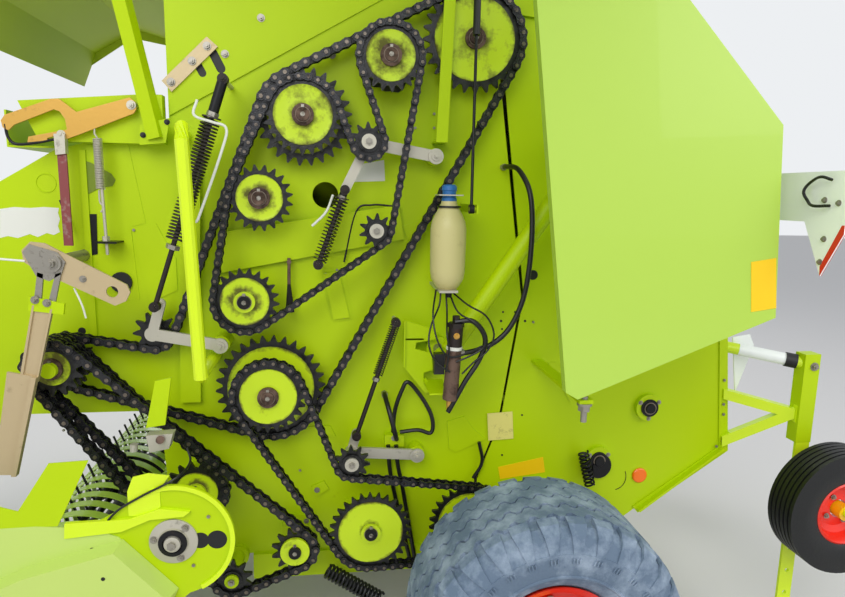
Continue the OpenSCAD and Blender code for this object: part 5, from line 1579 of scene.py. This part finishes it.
@dataclass
class PumpWork(Kit):
    """The chain oiler: its bottle, pump, bracket and thin lines."""

    bottle_x: float = 2902.0
    bottle_y: float = -788.0
    pump_y: float = -860.0
    bracket: Outline = (
        (2765, 1425), (2885, 1388), (2886, 1352), (2812, 1340), (2809, 1316), (2869, 1300), (2877, 1235),
        (2842, 1225), (2842, 1200), (2879, 1152), (2849, 1146), (2766, 1250))
    # Thin lines from the bottle to the pump.
    lines: tuple[Route, ...] = (
        ((441, 291, -788), (439, 306, -810), (431, 326, -850), (429, 345, -876), (436, 362, -884),
         (450, 372, -886)),
        ((446, 292, -788), (447, 312, -820), (447, 334, -888), (449, 350, -890), (446, 372, -888)),
        ((449, 292, -788), (458, 312, -850), (474, 322, -890), (485, 335, -892), (483, 348, -892),
         (470, 356, -890), (456, 362, -888)),
        ((452, 292, -788), (468, 305, -860), (486, 316, -880), (494, 334, -884), (488, 350, -884),
         (474, 362, -884), (462, 374, -884)),
        ((436, 290, -790), (433, 316, -860), (438, 342, -890), (450, 357, -893), (470, 352, -892),
         (482, 346, -888)),
    )
    thick_line: Route = (
        (455, 322, -866), (472, 321, -872), (483, 332, -874), (485, 345, -874), (478, 362, -874),
        (466, 380, -874), (457, 396, -872), (448, 412, -868))

    def build(self) -> None:
        """Makes the oiler."""
        self._bottle()
        self._pump()
        self._hoses()

    def _bottle(self) -> None:
        """Makes the bottle, its cap and the strap that holds it."""
        mesh = Mesh("bottle_plastic", "blue_cap", "zinc_plate", "black_plastic")
        x, y = self.bottle_x, self.bottle_y
        mesh.turned(at(x, y, 1560), UP, [
            (0.0, 0.0), (0.0, 0.034), (0.008, 0.041), (0.034, 0.056), (0.060, 0.060), (0.150, 0.0615),
            (0.205, 0.0615), (0.232, 0.057), (0.254, 0.047), (0.276, 0.035), (0.292, 0.027),
            (0.300, 0.026)], 44)
        mesh.use("blue_cap")
        mesh.turned(at(x, y, 1858), UP, [
            (0.0, 0.0), (0.0, 0.026), (0.012, 0.026), (0.014, 0.023), (0.036, 0.023), (0.038, 0.026),
            (0.052, 0.025), (0.057, 0.019), (0.057, 0.0)], 32)
        mesh.use("zinc_plate")
        mesh.box(at(2862, y - 36, 1878), at(2945, -730, 1882))
        mesh.box(at(2920, -731, 1878), at(2945, -WALL_OUT, 1882))
        mesh.box(at(2866, y - 60, 1552), at(2930, -WALL_OUT, 1560))
        mesh.use("black_plastic")
        mesh.turned(at(x, y, 1838), UP, [(0.0, 0.030), (0.0, 0.040), (0.006, 0.040), (0.006, 0.030)], 32)
        mesh.rod(at(x + 8, y, 1560), at(x + 8, y, 1528), 0.010, 14)
        mesh.make("oil_bottle_detail", self.mats, "frame", "bottle_plastic", ("oil_bottle",))

    def _pump(self) -> None:
        """Makes the bracket, the pump's body and the lines from the bottle."""
        mesh = Mesh("green_paint", "old_iron", "yellow_zinc", "black_hose", "dark_iron", "sticker_white")
        y, row = self.pump_y, -Row.INNER.value
        mesh.plate(self.bracket, row, 5)
        mesh.box(at(2765, row - 10, 1250), at(2771, row, 1425))
        mesh.box(at(2770, row, 1350), at(2840, -WALL_OUT, 1356))
        mesh.plate([(2842, 1200), (2879, 1152), (2885, 1160), (2850, 1206)], row - 22, 22)
        mesh.box(at(2840, y + 15, 1192), at(2912, row + 2, 1198))
        mesh.use("old_iron")
        low, top = at(2910, y, 1181), at(2924, y, 1442)
        d = top - low
        mesh.rod(low, low + d * 0.68, 0.026, 32)
        for t in (0.02, 0.18, 0.60):
            mesh.rod(low + d * t, low + d * (t + 0.035), 0.0272, 32)
        mesh.use("dark_iron")
        mesh.rod(low + d * 0.72, top, 0.0255, 32)
        mesh.rod(top - d * 0.02, top + UP * 0.010, 0.029, 6)
        mesh.rod(top, top + UP * 0.034, 0.013, 6)
        mesh.use("sticker_white")
        mesh.rod(low + d * 0.68, low + d * 0.725, 0.0275, 32)
        mesh.use("yellow_zinc")
        mesh.rod(at(2908, y, 1140), low, 0.010, 16, 0.014)
        mesh.bolt(low + d * 0.88 + OUT * 0.024, OUT, 7.0)
        mesh.use("black_hose")
        mesh.box(at(2852, y + 2, 1270), at(2888, y + 34, 1342))
        for route in self.lines:
            mesh.tube(self.sight.path(route), 0.0032, 8)
        mesh.tube(self.sight.path(self.thick_line), 0.009, 8)
        mesh.make("oil_pump_detail", self.mats, "frame", "old_iron", ("oil_pump",))

    def _hoses(self) -> None:
        """Makes the pressure hose to the pump and the short one low on the wall."""
        mesh = Mesh("black_hose", "bolt_steel")
        y = self.pump_y
        for route in (
            [(3130, -620, 1985), (3130, -680, 1985), (3145, y + 90, 1972), (3168, y + 25, 1900),
             (3178, y + 8, 1790), (3172, y, 1640), (3152, y, 1520), (3107, y, 1425), (3045, y, 1372),
             (2975, y, 1349), (2925, y, 1345)],
            [(2700, -620, 1130), (2700, -660, 1130), (2715, -718, 1080), (2735, -718, 1000),
             (2745, -660, 960), (2745, -620, 960)],
        ):
            line = [at(*p) for p in route]
            mesh.use("black_hose")
            mesh.tube(smooth(line, 8), 0.009, 14)
            mesh.use("bolt_steel")
            for end, after in ((line[0], line[1]), (line[-1], line[-2])):
                mesh.rod(end, end + (after - end).normalized() * 0.030, 0.0125, 6)
        mesh.make("hydraulic_hose_lines", self.mats, "frame", "hose_rubber", ("hydraulic_hoses",))


@dataclass
class TailgateDress(Kit):
    """Trim of the tailgate's left side and of the rear panel.

    Outlines and places are in pixels of the photograph where nothing else is said.
    """

    face: float = -WALL_OUT
    edge: Outline = ((719, 340), (727, 337), (727, 450), (637, 512), (632, 506), (718, 446))
    gusset: Outline = ((548, 362), (570, 402), (570, 380), (556, 362))
    edge_bolts: Outline = (
        (724, 380), (723, 404), (723, 414), (722, 441), (716, 446), (640, 507), (690, 473), (712, 455))
    lamp: Point2 = (639, 475)
    roller: Point2 = (597, 464)
    roller_spring: Outline = ((583, 452), (590, 486))
    # The embossed arc: its middle, radius, and angles in degrees.
    arc: Point2 = (612, 476)
    arc_radius: float = 14.0
    arc_angles: tuple[float, ...] = tuple(range(-20, 77, 12))
    sticker: Outline = ((498, 467), (543, 457), (545, 472), (500, 479))
    white_edge: Outline = ((732, 337), (749, 334), (753, 345), (734, 392))
    panel_sticker: Outline = ((751, 262), (776, 258), (776, 308), (751, 312))
    # The rear panel's lower hinge in millimetres.
    hinge: Point3 = (3297, -1100, 1262)

    def build(self) -> None:
        """Makes the trim."""
        self._side()
        self._panel()

    def _side(self) -> None:
        """Makes the edge strips, lamp, roller, spring and sticker of the side."""
        mesh = Mesh("green_paint", "bolt_steel", "lamp_amber", "dark_steel", "sticker_yellow", "board_white")
        spot, shape, y = self.sight.spot, self.sight.shape, self.face
        mesh.plate(shape(self.edge, y), y - 6, 5)
        mesh.plate(shape(self.gusset, y), y - 4, 3)
        mesh.use("bolt_steel")
        for px in self.edge_bolts:
            mesh.bolt(spot(*px, y - 6), OUT, 5.5, washer=False)
        mesh.use("lamp_amber")
        lens = [(0.0, 0.0), (0.0, 0.031), (0.006, 0.031), (0.009, 0.027), (0.010, 0.0)]
        mesh.turned(spot(*self.lamp, y), OUT, lens, 36)
        mesh.use("dark_steel")
        roller = spot(*self.roller, y)
        mesh.rod(roller, roller + OUT * 0.022, 0.052, 32)
        mesh.rod(roller + OUT * 0.022, roller + OUT * 0.030, 0.030, 24)
        mesh.spring(*(spot(*px, y - 44) for px in self.roller_spring), 0.019, 0.0042, 9)
        x, z = self.arc
        r = self.arc_radius
        arc = [math.radians(a) for a in self.arc_angles]
        mesh.tube([spot(x + r * math.cos(a), z + r * math.sin(a), y - 0.5) for a in arc], 0.0016, 6)
        mesh.use("sticker_yellow")
        mesh.plate(shape(self.sticker, y), y - 1, 1)
        mesh.use("board_white")
        mesh.plate(shape(self.white_edge, y + 30), y + 24, 4)
        mesh.make("tailgate_trim", self.mats, "tailgate", "paint_green")

    def _panel(self) -> None:
        """Makes the rear panel's blank sticker and its lower hinge pin."""
        mesh = Mesh("sticker_yellow", "bolt_steel")
        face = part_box("rear_panel_left")[0][1] * 1000
        mesh.plate(self.sight.shape(self.panel_sticker, face), face - 1.5, 1.2)
        mesh.use("bolt_steel")
        hinge = at(*self.hinge)
        for start, end, r, sides in (
            (0.0, 0.085, 0.010, 16), (0.030, 0.048, 0.020, 6), (0.022, 0.030, 0.024, 24),
        ):
            mesh.rod(hinge - UP * start, hinge - UP * end, r, sides)
        mesh.make("panel_trim", self.mats, "panel_left", "board_white")


@dataclass
class PickupDress(Kit):
    """The pickup's side plates with cheek, shield, drive guard and bearing, and the tube between them.

    Faces are distances from the machine's middle, in millimetres; the tube is in metres.
    """

    pivot: Point2 = (2023, 816)
    reel: Point2 = (1600, 520)
    inner_face: float = 1044.0
    outer_face: float = 1050.0
    cheek_radius: float = 183.0
    lip: float = 14.0
    guard_back: float = 1052.0
    guard_front: float = 1109.0
    guard_taper: float = 0.07
    tube_reach: float = 0.300
    tube_angle: float = 36.0
    tube_half: float = 0.991
    tube_radius: float = 0.028
    side_plate: Outline = (
        (1990, 990), (1640, 800), (1380, 640), (1340, 420), (1600, 300), (1800, 420), (2080, 650))
    side_guard: Outline = (
        (1450, 985), (1589, 937), (1684, 1083), (1794, 1088), (1695, 884), (1450, 885))
    strip: Outline = (
        (1718, 895), (1901, 900), (1990, 928), (2076, 914), (2057, 899), (1960, 894), (1876, 860),
        (1714, 847))
    brow: Outline = (
        (1897, 905), (1897, 985), (1915, 1030), (1960, 1040), (2020, 1030), (1990, 990), (1990, 930),
        (1940, 905))
    shield: Outline = (
        (1400, 884), (1634, 887), (1790, 872), (1865, 838), (1900, 790), (2010, 650), (1800, 430),
        (1600, 310), (1360, 430), (1385, 650))
    guard: Outline = (
        (1610, 752), (1865, 818), (2010, 655), (1985, 600), (1760, 500), (1560, 470), (1440, 560),
        (1470, 690))

    def build(self) -> None:
        """Makes both ends and the cross tube."""
        mesh = Mesh("green_paint", "shield_paint", "zinc_plate", "dark_steel", "bolt_steel", "black_plastic",
                    "shade_paint", "bright_paint")
        for side in Side:
            self._plates(mesh, side.value)
            self._guard(mesh, side.value)
            self._bearing(mesh, side.value)
        middle = at(self.reel[0], 0, self.reel[1]) + spoke(self.tube_reach, math.radians(self.tube_angle))
        # The cross tube takes the same greyed green: painted shade.
        mesh.use("shade_paint")
        mesh.rod(middle - ACROSS * self.tube_half, middle + ACROSS * self.tube_half, self.tube_radius, 28)
        mesh.make("pickup_sides", self.mats, "pickup", "paint_pale", ("pickup_frame",))

    def _plates(self, mesh: Mesh, s: int) -> None:
        """Adds one side's sheet metal.

        Args:
            mesh: The mesh that takes it.
            s: The side, as the sign of y.
        """
        x, z = self.pivot
        lip = [(x + r * math.cos(math.radians(a)), z + r * math.sin(math.radians(a)))
               for r, steps in ((self.cheek_radius, range(-64, 116, 6)),
                                (self.cheek_radius - self.lip, range(110, -70, -6)))
               for a in steps]
        for outline, finish, inner, thick in (
            (round_hole(x, z, self.cheek_radius, 72), "green_paint", self.inner_face, 6),
            (self.side_plate, "green_paint", self.inner_face, 5.5),
            (self.side_guard, "green_paint", self.outer_face, 3),
            # The lip, strip and brow take the brighter green for the light falling on these flanges: painted
            # highlight.
            (lip, "bright_paint", self.outer_face, 8),
            (self.strip, "bright_paint", self.outer_face, 12),
            (self.brow, "bright_paint", self.outer_face, 4),
            (self.shield, "shield_paint", self.outer_face, 4),
        ):
            mesh.use(finish)
            mesh.plate(outline, inner if s > 0 else -inner - thick, thick)

    def _guard(self, mesh: Mesh, s: int) -> None:
        """Adds the drive guard with two black discs as the painted shade of its holes, and the sleeve of the
        pivot.
        """
        front = [at(x, s * self.guard_front, z) for x, z in self.guard]
        middle = sum(front, Vector()) / len(front)
        inwards = ACROSS * s * (self.guard_back - self.guard_front) / 1000
        mesh.use("shield_paint")
        mesh.loft([[p + inwards + (p - middle) * self.guard_taper for p in front], front])
        mesh.use("black_plastic")
        # Black discs for the guard's two holes: painted shade.
        for x, face, z, r in ((1787, self.guard_back + 2, 803, 7), (1833, self.guard_front, 739, 6)):
            hole = at(x, s * face, z)
            mesh.rod(hole, hole + ACROSS * s * 0.0008, r / 1000, 16)
        mesh.use("green_paint")
        sleeve = [(0.0, 0.0255), (0.0, 0.043), (0.085, 0.043), (0.085, 0.0255)]
        mesh.turned(at(self.pivot[0], s * 960, self.pivot[1]), ACROSS * s, sleeve, 32)

    def _bearing(self, mesh: Mesh, s: int) -> None:
        """Adds the bearing on one cheek, with its bolts and two black discs as the painted shade of the slot
        behind it.
        """
        out = ACROSS * s
        c = at(self.pivot[0], s * self.outer_face, self.pivot[1])
        for finish, profile, steps in (
            ("zinc_plate", [(0.0, 0.0), (0.0, 0.072), (0.006, 0.072), (0.008, 0.060), (0.010, 0.046),
                            (0.016, 0.044), (0.016, 0.0)], 40),
            ("dark_steel", [(0.010, 0.045), (0.020, 0.042), (0.023, 0.030), (0.018, 0.026),
                            (0.020, 0.0)], 36),
            ("zinc_plate", [(0.018, 0.0), (0.018, 0.026), (0.026, 0.024), (0.028, 0.018), (0.028, 0.0)], 28),
        ):
            mesh.use(finish)
            mesh.turned(c, out, profile, steps)
        mesh.use("bolt_steel")
        mesh.rod(c + out * 0.026, c + out * 0.038, 0.013, 6)
        for a in turns(3, 50):
            mesh.bolt(c + out * 0.007 + spoke(0.057, a), out, 8.0)
        for dx, dz in ((-0.030, 0.105), (0.105, 0.075), (0.055, -0.085)):
            mesh.bolt(c + Vector((dx, 0, dz)), out, 5.0, washer=False)
        mesh.use("black_plastic")
        # Black discs for the slot behind the bearing: painted shade.
        for dx, dz, r, proud in ((0.128, -0.004, 0.030, 0.0012), (0.078, -0.004, 0.026, 0.0008)):
            hole = c + Vector((dx, 0, dz))
            mesh.rod(hole, hole + out * proud, r, 28)


@dataclass
class RearDress(Kit):
    """Sleeves of the gauge wheel posts, and the edges, cables and screws of the light boards.

    Points are those of the right side in millimetres, and radii are in metres.
    """

    arm: tuple[Point3, ...] = ((4060, 574, 1294), (4360, 740, 1250))
    arm_radius: float = 0.0245
    collar_radius: float = 0.029
    post: tuple[Point3, ...] = ((4337, 712, 930), (4403, 767, 1292))
    post_bolt: Point3 = (4378, 767, 1243)
    edge_planes: Point2 = (3954, 3960)
    edge: Outline = ((1229, 1661), (1300, 1790), (1300, 1815), (1290, 1815), (1226, 1690))
    screw_plane: float = 3955.0
    screws: Outline = ((1214, 1886), (1268, 1878), (1229, 1772), (1224, 1703))
    cable: tuple[Point3, ...] = (
        (3940, 1250, 1944), (3930, 1215, 1953), (3935, 1167, 1934), (3930, 1155, 1910),
        (3935, 1167, 1886), (3930, 1198, 1869), (3945, 1247, 1870))
    cable_radius: float = 0.0045

    def build(self) -> None:
        """Makes both sides."""
        posts = Mesh("green_paint", "board_white", "black_plastic", "bolt_steel")
        boards = Mesh("board_red", "bolt_steel", "black_hose")
        for side in Side:
            self._post(posts, side.value)
            self._board(boards, side.value)
        posts.make("gauge_post_sleeves", self.mats, "tailgate", "paint_green")
        boards.make("board_trim", self.mats, "tailgate", "board_white")

    def _post(self, mesh: Mesh, s: int) -> None:
        """Adds the sleeve, collar, cap and bolt of one post."""
        a, b = self._on_side(self.arm, s)
        d = b - a
        mesh.use("board_white")
        mesh.rod(a + d * 0.30, a + d * 0.80, self.arm_radius, 28)
        mesh.use("black_plastic")
        mesh.rod(a + d * 0.79, a + d * 0.91, self.collar_radius, 24)
        mesh.use("green_paint")
        low, high = self._on_side(self.post, s)
        low.y, high.y = sorted((low.y, high.y))
        mesh.box(low, high)
        mesh.use("bolt_steel")
        mesh.bolt(self._on_side([self.post_bolt], s)[0], ACROSS * s, 11.0)

    def _board(self, mesh: Mesh, s: int) -> None:
        """Adds the red edge, screws and cable of one light board."""
        mesh.use("board_red")
        for x in self.edge_planes:
            mesh.prism([at(x, s * y, z) for y, z in self.edge], Vector((0.001, 0, 0)))
        mesh.use("bolt_steel")
        for y, z in self.screws:
            mesh.bolt(at(self.screw_plane, s * y, z), Vector((-1, 0, 0)), 6.0)
        mesh.use("black_hose")
        mesh.tube(smooth(self._on_side(self.cable, s)), self.cable_radius, 8)

    @staticmethod
    def _on_side(points: Sequence[Point3], s: int) -> list[Vector]:
        """Points of the right side, or their mirror images on the left."""
        return [at(x, s * y, z) for x, y, z in points]


def main() -> None:
    """Builds the stage, the finishes and every sub-assembly in turn."""
    logging.basicConfig(level=logging.INFO, format="%(message)s")
    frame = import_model()
    studio = Studio()
    studio.build()
    sight = Sight(studio)
    grime = Grime()
    mats = {finish.name: finish.build(grime) for finish in FINISHES}
    Paintwork(mats, frame["nodes"]).build()
    for kit in (ChainDrive, Springs, RoadWheels, WallFittings, LeverWork, PumpWork, TailgateDress,
                PickupDress, RearDress):
        kit(mats, sight).build()


if __name__ == "__main__":
    main()
